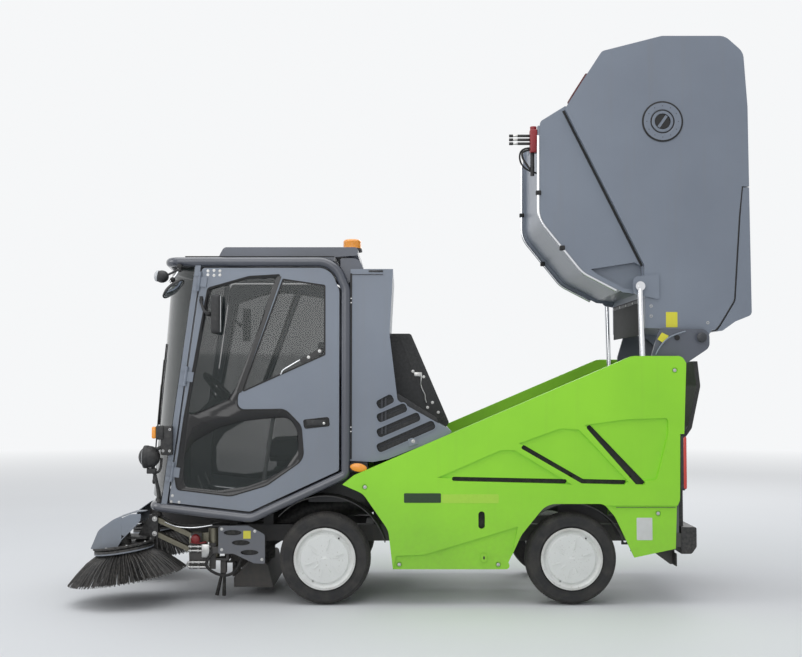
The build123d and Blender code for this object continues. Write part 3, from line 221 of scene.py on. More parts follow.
def whitePaint(name, axleX):
    # wheel covers: white stoved paint, brake dust round the rim and in the step
    made = Finish(name)
    centred, radius = made.fromAxle(axleX)
    cloud = made.noise(9.0, 5.0)
    rim = radius.ramp(0.135, 0.172) * cloud.ramp(0.3, 0.75) * 0.55
    specks = made.noise(95.0, 4.0).ramp(0.62, 0.72) * 0.35
    colour = made.mix((rim + specks).ramp(0.0, 1.0), full((0.72, 0.73, 0.71)), full((0.3, 0.27, 0.23)))
    normal = made.bump(made.noise(340.0, 2.0), 0.08)
    return made.close(Base_Color=colour, Roughness=0.38 + cloud * 0.15, Coat_Weight=0.2, Normal=normal)


def tyreRubber(name, axleX):
    # tyre: radial cords on the sidewall, cross sipes on the tread, grey dust where it meets the road
    made = Finish(name)
    centred, radius = made.fromAxle(axleX)
    across = made.along("X", centred)
    upright = made.along("Z", centred)
    angle = across.sum("ARCTAN2", upright, across)
    cords = angle.sum("SINE", angle * 210.0)
    sipes = angle.sum("SINE", angle * 74.0).ramp(0.72, 0.9)
    tread = radius.ramp(0.248, 0.254)
    relief = cords * 0.05 * (1 - tread) + sipes * tread * -1.0
    cloud = made.noise(14.0, 5.0)
    dust = (cloud.ramp(0.4, 0.75) * 0.45 + radius.ramp(0.235, 0.27) * 0.25).ramp(0.0, 1.0)
    colour = made.mix(dust, full((0.018, 0.018, 0.019)), full((0.085, 0.078, 0.068)))
    fine = made.bump(made.noise(600.0, 3.0), 0.25)
    normal = made.bump(relief, 0.8, 0.004, fine)
    return made.close(Base_Color=colour, Roughness=0.72 + cloud * 0.15, Normal=normal)


def metal(name, colour, rough, stretch=(4, 4, 300), pits=0.0):
    # bare or plated metal with drawn lines
    made = Finish(name)
    lines = made.noise(1.0, 3.0, made.mapped(stretch))
    cloud = made.noise(22.0, 4.0)
    tone = made.mix(cloud.ramp(0.5, 0.8) * pits, full(colour), full((0.12, 0.09, 0.06)))
    normal = made.bump(lines, 0.12, 0.0005)
    return made.close(
        Base_Color=tone, Metallic=1.0 - cloud.ramp(0.5, 0.8) * pits * 0.5, Roughness=rough + lines * 0.12,
        Normal=normal
    )


def glazing(name, colour, clear):
    # tinted safety glass: seen through straight on, a mirror at a slant
    made = Finish(name)
    slant = made.node("ShaderNodeLayerWeight", {}, {"Blend": 0.35}, "Facing")
    film = made.noise(3.0, 4.0).ramp(0.45, 0.8) * 0.08
    return made.close(
        Base_Color=full(colour), Roughness=0.03 + film * 0.6,
        Alpha=(slant * 0.5 + clear + film).ramp(0.0, 1.0), IOR=1.5
    )


def lens(name, colour, glow, ribs):
    # moulded lamp lens with a fine prism pattern behind it
    made = Finish(name)
    prism = made.node(
        "ShaderNodeTexWave", {"bands_direction": "Z"},
        {"Vector": made.place, "Scale": ribs, "Distortion": 0.0}, "Fac"
    )
    colourFlow = made.mix(prism, full(colour), full([value * 0.6 for value in colour]))
    return made.close(
        Base_Color=colourFlow, Roughness=0.16, Coat_Weight=0.6, Emission_Color=colourFlow,
        Emission_Strength=glow, Normal=made.bump(prism, 0.3)
    )


def weave(name, colour, deep):
    # hard-wearing seat cloth, over and under threads
    made = Finish(name)
    over = made.node(
        "ShaderNodeTexWave", {"bands_direction": "Y"}, {"Vector": made.place, "Scale": 210.0}, "Fac"
    )
    under = made.node(
        "ShaderNodeTexWave", {"bands_direction": "Z"}, {"Vector": made.place, "Scale": 210.0}, "Fac"
    )
    threads = over * under
    cloud = made.noise(6.0, 4.0)
    colourFlow = made.mix(threads * 0.6 + cloud * 0.4, full(deep), full(colour))
    return made.close(
        Base_Color=colourFlow, Roughness=0.92, Normal=made.bump(threads, 0.4, 0.0006), Sheen_Weight=0.25
    )


finishes = {name: paint(name, look) for name, look in paintLooks.items()}
# Plastics. Columns: colour, shade, roughness, grain scale, grain and dust
for name, *look in (
    ("blackPlastic", (0.02, 0.021, 0.023), (0.013, 0.013, 0.014), 0.52),
    ("softRubber", (0.012, 0.012, 0.013), (0.008, 0.008, 0.008), 0.7, 500.0, 0.2, 0.2),
    ("glossBlack", (0.01, 0.01, 0.011), (0.008, 0.008, 0.009), 0.18, 200.0, 0.03, 0.1),
    ("bristle", (0.03, 0.03, 0.031), (0.016, 0.016, 0.017), 0.48, 300.0, 0.2, 0.45),
    ("dullRed", (0.14, 0.03, 0.028), (0.09, 0.02, 0.02), 0.6),
    ("bandGreen", (0.4, 0.7, 0.06), (0.38, 0.675, 0.055), 0.45, 600.0, 0.05, 0.0),
    ("darkGreen", (0.012, 0.042, 0.01), (0.01, 0.036, 0.009), 0.45, 600.0, 0.05, 0.0),
):
    finishes[name] = plastic(name, *look)
finishes["rodSteel"] = metal("rodSteel", (0.72, 0.73, 0.75), 0.12)
finishes["fittingSteel"] = metal("fittingSteel", (0.5, 0.5, 0.49), 0.27, (40, 40, 40), 0.3)
finishes["glazing"] = glazing("glazing", (0.02, 0.027, 0.026), 0.47)
finishes["amberLens"] = lens("amberLens", (0.9, 0.33, 0.02), 0.25, 60.0)
finishes["redLens"] = lens("redLens", (0.62, 0.03, 0.015), 0.15, 45.0)
finishes["clearLens"] = lens("clearLens", (0.62, 0.64, 0.66), 0.0, 55.0)
for name, colour, deep, dusty in (
    ("redPaint", (0.3, 0.012, 0.018), (0.2, 0.008, 0.012), (0.1, 0.03, 0.02)),
    ("blankYellow", (0.76, 0.7, 0.05), (0.68, 0.62, 0.04), (0.3, 0.27, 0.1)),
    ("blankWhite", (0.72, 0.73, 0.72), (0.62, 0.63, 0.62), (0.35, 0.34, 0.3)),
):
    finishes[name] = paint(
        name, {**paintLooks["greenPaint"], "colour": colour, "deep": deep, "dustColour": dusty}
    )
finishes["seatCloth"] = weave("seatCloth", (0.06, 0.062, 0.07), (0.02, 0.021, 0.024))
finishes["mirrorFace"] = metal("mirrorFace", (0.86, 0.88, 0.9), 0.03, (2, 2, 2))
for end, axleX in axles.items():
    finishes[f"tyre_{end}"] = tyreRubber(f"tyre_{end}", axleX)
    finishes[f"white_{end}"] = whitePaint(f"white_{end}", axleX)
print("finishes made")


# Every CAD node gets the finish of its kind
def dressNode(finish, *names):
    for name in names:
        slots = nodes[name].material_slots
        for slot in slots:
            slot.material = finishes[finish]


dressNode("greyPaint", "hopper_body", "hopper_door", "cowl", "door_left", "door_right", "cab_pillars")
# the cab's tubes take the darker tube paint, a painted shade
dressNode("shadedTubePaint", "cab_frame")
dressNode("mastPaint", "roof", "nozzle_side_plates", "lift_mast")
dressNode(
    "framePaint", "chassis_frame", "axles", "knuckle_left", "knuckle_right", "cab_floor", "cab_rear_wall",
    "engine", "suction_mouth"
)
dressNode("greenPaint", "side_panels")
dressNode("glazing", "windscreen", "door_glass_left", "door_glass_right")
dressNode(
    "blackPlastic", "rear_cover", "rear_bumper", "wheel_liners", "suction_shroud", "suction_duct",
    "water_tank", "dashboard"
)
dressNode("rodSteel", "lift_rods", "flange_pipes")
# the ram barrels take the darker tube paint too, a painted shade
dressNode("shadedTubePaint", "lift_barrels")
dressNode("softRubber", "side_indicators")
for side in sides:
    dressNode("zincSteel", f"brush_carrier_{side}", f"brush_link_upper_{side}", f"brush_link_lower_{side}")
    dressNode("blackPlastic", f"brush_head_{side}")
    dressNode("guardPaint", f"brush_guard_{side}")
    for end in ("front", "rear"):
        dressNode(f"white_{end}", f"wheel_{end}_{side}")


# Modelling helpers. Each makes one shape at its place, in metres, and leaves its object at the origin.
def clearSelection():
    if bpy.context.mode != "OBJECT":
        bpy.ops.object.mode_set(mode="OBJECT")
    bpy.ops.object.select_all(action="DESELECT")


def pick(*pieces):
    clearSelection()
    for piece in pieces:
        piece.select_set(True)
    bpy.context.view_layer.objects.active = pieces[0]


def settle(piece):
    pick(piece)
    bpy.ops.object.transform_apply(location=True, rotation=True, scale=True)
    return piece


def editing(piece):
    pick(piece)
    bpy.ops.object.mode_set(mode="EDIT")
    bpy.ops.mesh.select_all(action="SELECT")


def closeUp(piece, merge=0.00001):
    editing(piece)
    bpy.ops.mesh.remove_doubles(threshold=merge)
    bpy.ops.mesh.delete_loose(use_verts=True, use_edges=True, use_faces=False)
    bpy.ops.mesh.select_all(action="SELECT")
    bpy.ops.mesh.normals_make_consistent(inside=False)
    bpy.ops.object.mode_set(mode="OBJECT")


def soften(piece, edge, segments=2, angle=32):
    if edge:
        rounding = piece.modifiers.new("rounding", "BEVEL")
        rounding.width = edge
        rounding.segments = segments
        rounding.limit_method = "ANGLE"
        rounding.angle_limit = math.radians(angle)
        pick(piece)
        bpy.ops.object.modifier_apply(modifier=rounding.name)
    pick(piece)
    bpy.ops.object.shade_smooth_by_angle(angle=math.radians(38))
    return piece


def coat(piece, finish):
    piece.data.materials.clear()
    piece.data.materials.append(finishes[finish])
    return piece


def box(finish, low, high, edge=0.002, segments=2):
    clearSelection()
    bpy.ops.mesh.primitive_cube_add(size=1, location=[(a + b) / 2 for a, b in zip(low, high)])
    piece = bpy.context.object
    piece.scale = [abs(b - a) for a, b in zip(low, high)]
    settle(piece)
    return coat(soften(piece, edge, segments), finish)


def rod(finish, start, end, radius, tip=None, sides=24, edge=0.0012):
    way = Vector(end) - Vector(start)
    clearSelection()
    bpy.ops.mesh.primitive_cone_add(
        vertices=sides, radius1=radius, radius2=radius if tip is None else tip, depth=way.length,
        location=(Vector(start) + Vector(end)) / 2, rotation=way.to_track_quat("Z", "Y").to_euler(),
    )
    return coat(soften(settle(bpy.context.object), edge, 2, 50), finish)


def outlineFace(corners, y):
    # a flat face from rows of x, z and corner radius, rounded corner by corner
    clearSelection()
    bpy.ops.mesh.primitive_circle_add(vertices=len(corners), radius=1, fill_type="NGON")
    piece = bpy.context.object
    for point, (x, z, radius) in zip(piece.data.vertices, corners):
        point.co = (x, y, z)
    for index, (x, z, radius) in enumerate(corners):
        if not radius:
            continue
        before = Vector((corners[index - 1][0] - x, corners[index - 1][1] - z))
        after = Vector(
            (corners[(index + 1) % len(corners)][0] - x, corners[(index + 1) % len(corners)][1] - z)
        )
        half = before.angle(after) / 2
        reach = min(radius / math.tan(half), before.length * 0.48, after.length * 0.48)
        editing(piece)
        bpy.ops.mesh.select_all(action="DESELECT")
        bpy.ops.object.mode_set(mode="OBJECT")
        corner = min(piece.data.vertices, key=lambda point: (point.co - Vector((x, y, z))).length)
        corner.select = True
        bpy.ops.object.mode_set(mode="EDIT")
        bpy.ops.mesh.select_mode(type="VERT")
        bpy.ops.mesh.bevel(offset=reach, segments=6, affect="VERTICES", profile=0.5)
    clearSelection()
    return piece


def plate(finish, corners, y0, y1, edge=0.0015, hole=0.0, start=0.0):
    # a flat outline given a thickness; start moves its edge inwards, and hole leaves a strip that wide
    piece = outlineFace(corners, y0)
    editing(piece)
    if start:
        bpy.ops.mesh.inset(thickness=abs(start), depth=0, use_outset=start < 0)
        if start > 0:
            bpy.ops.mesh.select_all(action="INVERT")
            bpy.ops.mesh.delete(type="FACE")
        bpy.ops.mesh.select_all(action="SELECT")
    if hole:
        bpy.ops.mesh.inset(thickness=hole, depth=0)
        bpy.ops.mesh.delete(type="FACE")
    bpy.ops.mesh.select_all(action="SELECT")
    bpy.ops.mesh.extrude_region_move(TRANSFORM_OT_translate={"value": (0, y1 - y0, 0)})
    closeUp(piece)
    return coat(soften(piece, edge, 1), finish)


def oblong(finish, first, last, radius, y0, y1, edge):
    # a plate between two opposite corners, each an x and a z
    (x0, z0), (x1, z1) = first, last
    corners = [(x0, z0, radius), (x1, z0, radius), (x1, z1, radius), (x0, z1, radius)]
    return plate(finish, corners, y0, y1, edge)


def facing(centre, way):
    # the place whose own Z axis looks along a way
    return Matrix.Translation(centre) @ Vector(way).to_track_quat("Z", "Y").to_matrix().to_4x4()


def tilted(piece, degrees, middle, start=None):
    # turn a shape about a line along Y through its middle; start is where that middle was before
    turn = Matrix.Rotation(math.radians(degrees), 4, "Y")
    piece.data.transform(Matrix.Translation(middle) @ turn @ Matrix.Translation(-Vector(start or middle)))


def turned(finish, profile, centre, axis=(0, 0, 1), steps=48):
    # a profile of radius and height spun round an axis
    clearSelection()
    bpy.ops.mesh.primitive_circle_add(vertices=len(profile), radius=1, fill_type="NOTHING")
    piece = bpy.context.object
    for point, (radius, height) in zip(piece.data.vertices, profile):
        point.co = (radius, 0, height)
    editing(piece)
    bpy.ops.mesh.spin(steps=steps, angle=math.tau, center=(0, 0, 0), axis=(0, 0, 1))
    closeUp(piece, 0.00002)
    piece.matrix_world = facing(centre, axis)
    settle(piece)
    return coat(soften(piece, 0), finish)


def pipe(finish, points, radius, order=3, ring=4):
    # a bent round pipe along a smooth line
    curve = bpy.data.curves.new("line", "CURVE")
    curve.dimensions = "3D"
    curve.bevel_depth = radius
    curve.bevel_resolution = ring
    curve.use_fill_caps = True
    curve.resolution_u = 10
    line = curve.splines.new("NURBS")
    line.points.add(len(points) - 1)
    for point, where in zip(line.points, points):
        point.co = (*where, 1)
    line.order_u = order
    line.use_endpoint_u = True
    piece = bpy.data.objects.new("line", curve)
    bpy.context.scene.collection.objects.link(piece)
    pick(piece)
    bpy.ops.object.convert(target="MESH")
    piece = bpy.context.object
    closeUp(piece, 0.000001)
    return coat(soften(piece, 0), finish)


def ball(finish, centre, radius, squash=(1, 1, 1)):
    clearSelection()
    bpy.ops.mesh.primitive_uv_sphere_add(segments=32, ring_count=18, radius=radius, location=centre)
    piece = bpy.context.object
    piece.scale = squash
    return coat(soften(settle(piece), 0), finish)


def copyOf(piece, matrix):
    copy = piece.copy()
    copy.data = piece.data.copy()
    bpy.context.scene.collection.objects.link(copy)
    copy.matrix_world = matrix
    return settle(copy)


def mirrored(piece):
    copy = copyOf(piece, Matrix.Diagonal((1, -1, 1, 1)))
    editing(copy)
    bpy.ops.mesh.normals_make_consistent(inside=False)
    bpy.ops.object.mode_set(mode="OBJECT")
    return copy


def piece(name, body, slot, *parts):
    # join shapes into one named piece that rides on a body
    pick(*parts)
    if len(parts) > 1:
        bpy.ops.object.join()
    made = bpy.context.view_layer.objects.active
    made.name = name
    made.data.name = name
    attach(made, body)
    return made


def piecePair(name, bodies, slot, *parts):
    # the same piece on the left and, mirrored, on the right
    pick(*parts)
    if len(parts) > 1:
        bpy.ops.object.join()
    left = bpy.context.view_layer.objects.active
    right = mirrored(left)
    return piece(f"{name}_left", bodies[0], slot, left), piece(f"{name}_right", bodies[1], slot, right)


def chassisPair(name, slot, *parts):
    return piecePair(name, ("chassis", "chassis"), slot, *parts)


def bolt(finish, where, way, radius=0.008, proud=0.006):
    # a six-sided head on a washer
    where = Vector(where)
    way = Vector(way).normalized()
    washer = rod("fittingSteel", where - way * 0.001, where + way * 0.0015, radius * 1.5, sides=20, edge=0)
    head = rod(finish, where + way * 0.001, where + way * proud, radius, radius * 0.94, sides=6, edge=0.0008)
    pick(washer, head)
    bpy.ops.object.join()
    return bpy.context.object


def boltsAt(y, places, radius, proud, finish="fittingSteel"):
    # bolt heads on a face that looks to the left; each place is an x and a z
    return [bolt(finish, (x, y, z), (0, 1, 0), radius, proud) for x, z in places]


def cutOut(piece, cutter):
    # take one shape out of another
    bite = piece.modifiers.new("bite", "BOOLEAN")
    bite.operation = "DIFFERENCE"
    bite.solver = "EXACT"
    bite.object = cutter
    pick(piece)
    bpy.ops.object.modifier_apply(modifier=bite.name)
    pick(cutter)
    bpy.ops.object.delete()
    return piece


# Camera, studio and floor
def straightRays(tree):
    # 1 for what the camera sees, also in reflections and through glass, and 0 for light that bounces
    rays = tree.nodes.new("ShaderNodeLightPath")
    kinds = ("Is Camera Ray", "Is Glossy Ray", "Is Transmission Ray")
    camera, glossy, through = [Flow(tree, rays.outputs[kind]) for kind in kinds]
    return camera.sum("MAXIMUM", camera.sum("MAXIMUM", camera, glossy), through)


view = {"place": (0.0435, 7.425, 1.318), "tilt": 92.551, "lens": 51.89}
camera = bpy.data.objects.new("camera", bpy.data.cameras.new("camera"))
camera.location = view["place"]
camera.rotation_euler = (math.radians(view["tilt"]), 0, math.pi)
camera.data.lens = view["lens"]
camera.data.sensor_width = 36.0
camera.data.clip_end = 200.0
bpy.context.scene.collection.objects.link(camera)
bpy.context.scene.camera = camera

studio = {
    "pale": (0.92, 0.93, 0.94), "sky": (0.8, 0.84, 0.9), "skyStrength": 0.5, "fadeFrom": 3.5, "fadeTo": 16.0,
    "floorSize": 90, "floorHeight": -0.0006
}
world = bpy.data.worlds.new("studio")
world.use_nodes = True
bpy.context.scene.world = world
world.node_tree.nodes.clear()
share = straightRays(world.node_tree)
skyLight = world.node_tree.nodes.new("ShaderNodeBackground")
skyLight.inputs["Color"].default_value = full(studio["sky"])
skyLight.inputs["Strength"].default_value = studio["skyStrength"]
backdrop = world.node_tree.nodes.new("ShaderNodeBackground")
backdrop.inputs["Color"].default_value = full(studio["pale"])
backdrop.inputs["Strength"].default_value = 1.0
either = world.node_tree.nodes.new("ShaderNodeMixShader")
world.node_tree.links.new(share.socket, either.inputs[0])
world.node_tree.links.new(skyLight.outputs[0], either.inputs[1])
world.node_tree.links.new(backdrop.outputs[0], either.inputs[2])
worldOut = world.node_tree.nodes.new("ShaderNodeOutputWorld")
world.node_tree.links.new(either.outputs[0], worldOut.inputs["Surface"])

lamps = [
    # name, place, size, watts
    ("overhead", (0.5, 1.0, 8.5), 9.0, 430.0),
    ("cameraSide", (2.5, 9.0, 4.5), 6.0, 200.0),
    ("backLight", (-3.0, -7.0, 5.0), 5.0, 160.0),
    ("frontSide", (8.0, 2.0, 3.5), 4.0, 110.0),
]
for name, where, size, watts in lamps:
    lamp = bpy.data.objects.new(name, bpy.data.lights.new(name, "AREA"))
    lamp.data.size = size
    lamp.data.energy = watts
    lamp.location = where
    lamp.rotation_euler = (Vector(where) - Vector((0, 0, 1.1))).to_track_quat("Z", "Y").to_euler()
    bpy.context.scene.collection.objects.link(lamp)

clearSelection()
bpy.ops.mesh.primitive_plane_add(size=studio["floorSize"], location=(0, 0, studio["floorHeight"]))
floor = settle(bpy.context.object)
floor.name = "studioFloor"
ground = Finish("studioFloor")
patchy = ground.noise(0.6, 3.0)
floor.data.materials.append(
    ground.close(
        Base_Color=ground.mix(patchy, full((0.66, 0.67, 0.68)), full((0.7, 0.71, 0.72))), Roughness=0.75,
        Normal=ground.bump(ground.noise(80.0, 4.0), 0.05)
    )
)
# far from the object the floor turns into the pale backdrop, for the camera and for reflections alone
floorOut = [item for item in ground.tree.nodes if item.type == "OUTPUT_MATERIAL"][0]
lit = Flow(ground.tree, floorOut.inputs["Surface"].links[0].from_socket)
away = ground.node(
    "ShaderNodeVectorMath", {"operation": "LENGTH"}, {0: ground.place}, "Value"
).ramp(studio["fadeFrom"], studio["fadeTo"])
fade = away * straightRays(ground.tree)
glow = ground.node("ShaderNodeEmission", {}, {"Color": full(studio["pale"]), "Strength": 1.0})
both = ground.node("ShaderNodeMixShader", {}, {0: fade, 1: lit, 2: glow})
ground.tree.links.new(both.socket, floorOut.inputs["Surface"])
print("studio ready")


# Tyres: grooved tread, rounded shoulders and rim guard
tyre = {"wheelY": 0.52, "steps": 96}
# rows: radius and distance from the tyre's middle plane, from the outer bead to the middle groove
tyreProfile = [
    (0.1662, -0.064), (0.176, -0.072), (0.188, -0.0775), (0.1905, -0.08), (0.196, -0.0802),
    (0.1985, -0.079), (0.21, -0.0812), (0.225, -0.0818), (0.24, -0.0795), (0.2425, -0.08), (0.245, -0.078),
    (0.254, -0.0715), (0.261, -0.062), (0.2645, -0.051), (0.2662, -0.038), (0.258, -0.0365),
    (0.258, -0.031), (0.2672, -0.0295), (0.2692, -0.011), (0.2605, -0.0095), (0.2605, -0.0045),
    (0.2696, -0.003)
]
tyreLoop = tyreProfile + [(radius, -across) for radius, across in reversed(tyreProfile)]
for end, axleX in axles.items():
    for side, sign in (("left", 1), ("right", -1)):
        ring = turned(
            f"tyre_{end}", tyreLoop, (axleX, sign * tyre["wheelY"], axleHeight), (0, sign, 0), tyre["steps"]
        )
        made = piece(f"tyreTread_{end}_{side}", f"wheel_{end}_{side}_set", "tyre_rubber", ring)
        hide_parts(f"tyre_{end}_{side}")

# Wheel cover extras: valve stem, a turned edge bead and embossed ribs
cover = {
    "valveAngle": 124.7, "valveRadius": 0.146, "ribCount": 5, "ribFrom": 0.05, "ribTo": 0.085,
    "faceY": 0.6031
}


def onCover(centre, degrees, radius, y=0.0):
    turn = math.radians(degrees)
    return centre + Vector((math.cos(turn) * radius, y, math.sin(turn) * radius))


for end, axleX in axles.items():
    centre = Vector((axleX, 0, axleHeight))
    stem = onCover(centre, cover["valveAngle"], cover["valveRadius"])
    valve = rod("softRubber", (stem.x, 0.58, stem.z), (stem.x, 0.6, stem.z), 0.0055, 0.0045, 16)
    cap = rod("blackPlastic", (stem.x, 0.598, stem.z), (stem.x, 0.6055, stem.z), 0.0042, sides=12)
    bead = turned(
        f"white_{end}",
        [
            (0.1795, -0.0035), (0.1812, -0.002), (0.1812, 0.001), (0.1785, 0.0025), (0.176, 0.001),
            (0.1765, -0.002)
        ],
        (axleX, 0.6045, axleHeight), (0, 1, 0), 72
    )
    emboss = []
    for step in range(cover["ribCount"]):
        degrees = 30 + step * 360 / cover["ribCount"]
        ends = [
            onCover(centre, degrees, radius, cover["faceY"])
            for radius in (cover["ribFrom"], cover["ribTo"])
        ]
        emboss.append(rod(f"white_{end}", *ends, 0.003, sides=16))
    piecePair(
        f"coverExtras_{end}", (f"wheel_{end}_left_set", f"wheel_{end}_right_set"), "wheel_white", valve,
        cap, bead, *emboss
    )
print("wheels done")


# Side brushes: hub disc, clamp ring with its rim, and rows of fanned bristles
brush = {
    "centre": (1.69, 0.5, 0.32), "lean": 8.0, "tipRadius": 0.352, "rootRadius": 0.15, "tipDrop": 0.168,
    "rows": 14, "thick": 0.0036, "rootInset": 0.055, "tipInset": 0.1, "firstCount": 58, "moreEachRow": 5
}
deck = Matrix.Translation(brush["centre"]) @ Matrix.Rotation(math.radians(brush["lean"]), 4, "Y")
hubDisc = turned(
    "blackPlastic",
    [
        (0.0155, 0.013), (0.1, 0.013), (0.108, 0.009), (0.16, 0.009), (0.168, 0.003), (0.168, -0.012),
        (0.145, -0.014), (0.12, -0.024), (0.06, -0.026), (0.0155, -0.026)
    ],
    (0, 0, 0), steps=64
)
clampRing = turned(
    "blackPlastic",
    [
        (0.15, 0.0095), (0.171, 0.0095), (0.1735, 0.006), (0.1735, -0.008), (0.17, -0.011), (0.166, -0.011),
        (0.166, 0.006), (0.15, 0.006)
    ],
    (0, 0, 0), steps=64
)
rimRing = turned(
    "greyPaint", [(0.168, -0.013), (0.175, -0.013), (0.1758, -0.009), (0.175, -0.005), (0.168, -0.005)],
    (0, 0, 0), steps=64
)
tufts = []
for row in range(brush["rows"]):
    share = row / (brush["rows"] - 1)
    root = brush["rootRadius"] - brush["rootInset"] * share
    tip = brush["tipRadius"] - brush["tipInset"] * share + random.uniform(-0.012, 0.006)
    drop = brush["tipDrop"] + 0.004 * share + random.uniform(-0.006, 0.004)
    count = brush["firstCount"] + row * brush["moreEachRow"]
    clearSelection()
    bpy.ops.mesh.primitive_cone_add(
        vertices=4, radius1=brush["thick"], radius2=brush["thick"] * 0.55, depth=1, location=(0, 0, 0.5)
    )
    tuft = settle(bpy.context.object)
    editing(tuft)
    bpy.ops.mesh.subdivide(number_cuts=2)
    bpy.ops.object.mode_set(mode="OBJECT")
    lean = random.uniform(-0.05, 0.05)
    for point in tuft.data.vertices:
        way = point.co.z
        out = root + (tip - root) * (way ** 0.85)
        down = -0.016 - (drop - 0.016) * (way ** 1.12)
        point.co = (out + point.co.x * 0.6, point.co.y + lean * way * 0.4, down + point.co.x * 0.8)
    bpy.context.view_layer.update()
    coat(tuft, "bristle")
    tuft.data.transform(Matrix.Rotation(random.uniform(0, 0.3), 4, "Z"))
    editing(tuft)
    bpy.ops.mesh.spin(
        steps=count - 1, angle=math.tau * (count - 1) / count, center=(0, 0, 0), axis=(0, 0, 1), dupli=True
    )
    bpy.ops.mesh.normals_make_consistent(inside=False)
    bpy.ops.object.mode_set(mode="OBJECT")
    tufts.append(tuft)
bolts = [
    bolt("fittingSteel", (math.cos(turn) * 0.132, math.sin(turn) * 0.132, 0.0095), (0, 0, 1), 0.007)
    for turn in (0.4, 1.45, 2.5, 3.54, 4.6, 5.6)
]
pick(hubDisc, clampRing, rimRing, *tufts, *bolts)
bpy.ops.object.join()
rotor = bpy.context.object
rotor.matrix_world = deck
settle(rotor)
rotors = piecePair("brushRotor", ("rotor_left", "rotor_right"), "bristle", rotor)
for side, made in zip(sides, rotors):
    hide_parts(f"brush_{side}")
print("brushes done")


# Cab glass surrounds, door seals, lock and hinges' bolts. Rows: x, z, corner radius
doorTrim = {
    "gapRows": [
        (1.277, 2.046, 0), (0.42, 2.046, 0.17), (0.343, 1.86, 0.12), (0.343, 0.745, 0.06),
        (0.918, 0.48, 0.12), (1.479, 0.543, 0)
    ],
    "frontPane": [
        (1.19, 1.864, 0.03), (0.944, 1.934, 0.06), (0.755, 1.945, 0.01), (1.004, 1.218, 0.06),
        (1.005, 1.146, 0.04), (0.724, 1.15, 0.08), (0.627, 1.05, 0.08), (0.611, 0.85, 0.09),
        (0.831, 0.696, 0.12), (1.042, 0.633, 0.12), (1.363, 0.672, 0.03), (1.374, 0.739, 0.03),
        (1.324, 1.101, 0)
    ],
    "rearPane": [(0.744, 1.918, 0.01), (0.49, 1.88, 0.012), (0.489, 1.465, 0.012), (0.987, 1.241, 0.012)],
    "lowWindow": [
        (1.32, 0.745, 0.03), (1.318, 0.87, 0.04), (1.266, 0.952, 0.06), (1.12, 1.036, 0.08),
        (0.982, 1.074, 0.08), (0.843, 1.09, 0.06), (0.7, 1.098, 0.06), (0.655, 1.02, 0.06),
        (0.648, 0.904, 0.06), (0.72, 0.8, 0.08), (0.83, 0.734, 0.08), (0.945, 0.694, 0.08),
        (1.118, 0.669, 0.08), (1.312, 0.69, 0.03)
    ],
    "highWindow": [
        (1.168, 1.85, 0.02), (0.954, 1.914, 0.04), (0.786, 1.921, 0.01), (0.88, 1.64, 0.04),
        (1.01, 1.29, 0.04), (1.06, 1.206, 0.03), (1.16, 1.16, 0.06), (1.3, 1.104, 0.02), (1.285, 1.2, 0.06)
    ],
    "divider": [(0.75, 1.931, 0.004), (0.775, 1.931, 0.004), (1.012, 1.236, 0.006), (0.983, 1.246, 0.006)],
    "handle": [(0.622, 1.085, 0.014), (0.612, 1.03, 0.014), (0.461, 1.046, 0.014), (0.468, 1.102, 0.014)]
}
frontBand = plate("glossBlack", doorTrim["frontPane"], 0.5998, 0.6008, 0, 0, 0.0005)
for rows in (doorTrim["lowWindow"], doorTrim["highWindow"]):
    cutOut(frontBand, plate("glossBlack", rows, 0.595, 0.606, 0))
divider = plate("glossBlack", doorTrim["divider"], 0.6035, 0.6062, 0.0008)
frontSeal = plate("softRubber", doorTrim["frontPane"], 0.5985, 0.6052, 0.0012, 0.0075, -0.004)
rearBand = plate("glossBlack", doorTrim["rearPane"], 0.5998, 0.6006, 0, 0.01, 0.0005)
rearSeal = plate("softRubber", doorTrim["rearPane"], 0.5985, 0.6052, 0.0012, 0.0075, -0.004)
lockCup = plate("glossBlack", doorTrim["handle"], 0.5945, 0.606, 0.0015, 0.006, -0.005)
cupFace = plate("softRubber", doorTrim["handle"], 0.5935, 0.6046, 0.001)
grip = box("blackPlastic", (0.486, 0.603, 1.05), (0.6, 0.6085, 1.084), 0.0026, 3)
barrel = rod("fittingSteel", (0.4968, 0.6, 1.0635), (0.4968, 0.61, 1.0635), 0.008)
slideLatch = plate(
    "glossBlack",
    [
        (0.5, 1.508, 0.014), (0.53, 1.5, 0.014), (0.64, 1.44, 0.014), (0.632, 1.412, 0.014),
        (0.505, 1.476, 0.014)
    ],
    0.6002, 0.6062, 0.0015
)
latchBolts = boltsAt(0.606, ((0.524, 1.489), (0.589, 1.453)), 0.0062, 0.004)
grab = pipe(
    "rodSteel",
    [
        (0.64, 0.6062, 1.436), (0.655, 0.6115, 1.428), (0.7, 0.6115, 1.4), (0.738, 0.6115, 1.379),
        (0.746, 0.61, 1.366), (0.752, 0.605, 1.351)
    ],
    0.0048
)
hingeBolts = boltsAt(0.6045, (
    (1.186, 1.963), (1.15, 1.966), (1.115, 1.963), (1.186, 1.94), (1.15, 1.936), (1.115, 1.939),
    (1.385, 0.64), (1.392, 0.605), (1.345, 0.602), (1.372, 0.573),
), 0.0055, 0.0035)
piecePair(
    "doorTrim", ("door_left_leaf", "door_right_leaf"), "black_plastic", frontBand, divider, frontSeal,
    rearBand, rearSeal, lockCup, cupFace, grip, barrel, slideLatch, grab, *latchBolts, *hingeBolts
)

# Seal that stays on the cab, behind the door's edge
doorSeal = plate("softRubber", doorTrim["gapRows"], 0.553, 0.572, 0.001, 0.026, 0.058)
cutOut(doorSeal, box("softRubber", (1.22, 0.54, 0.4), (1.5, 0.59, 2.1), 0))
chassisPair("doorSeal", "black_plastic", doorSeal)

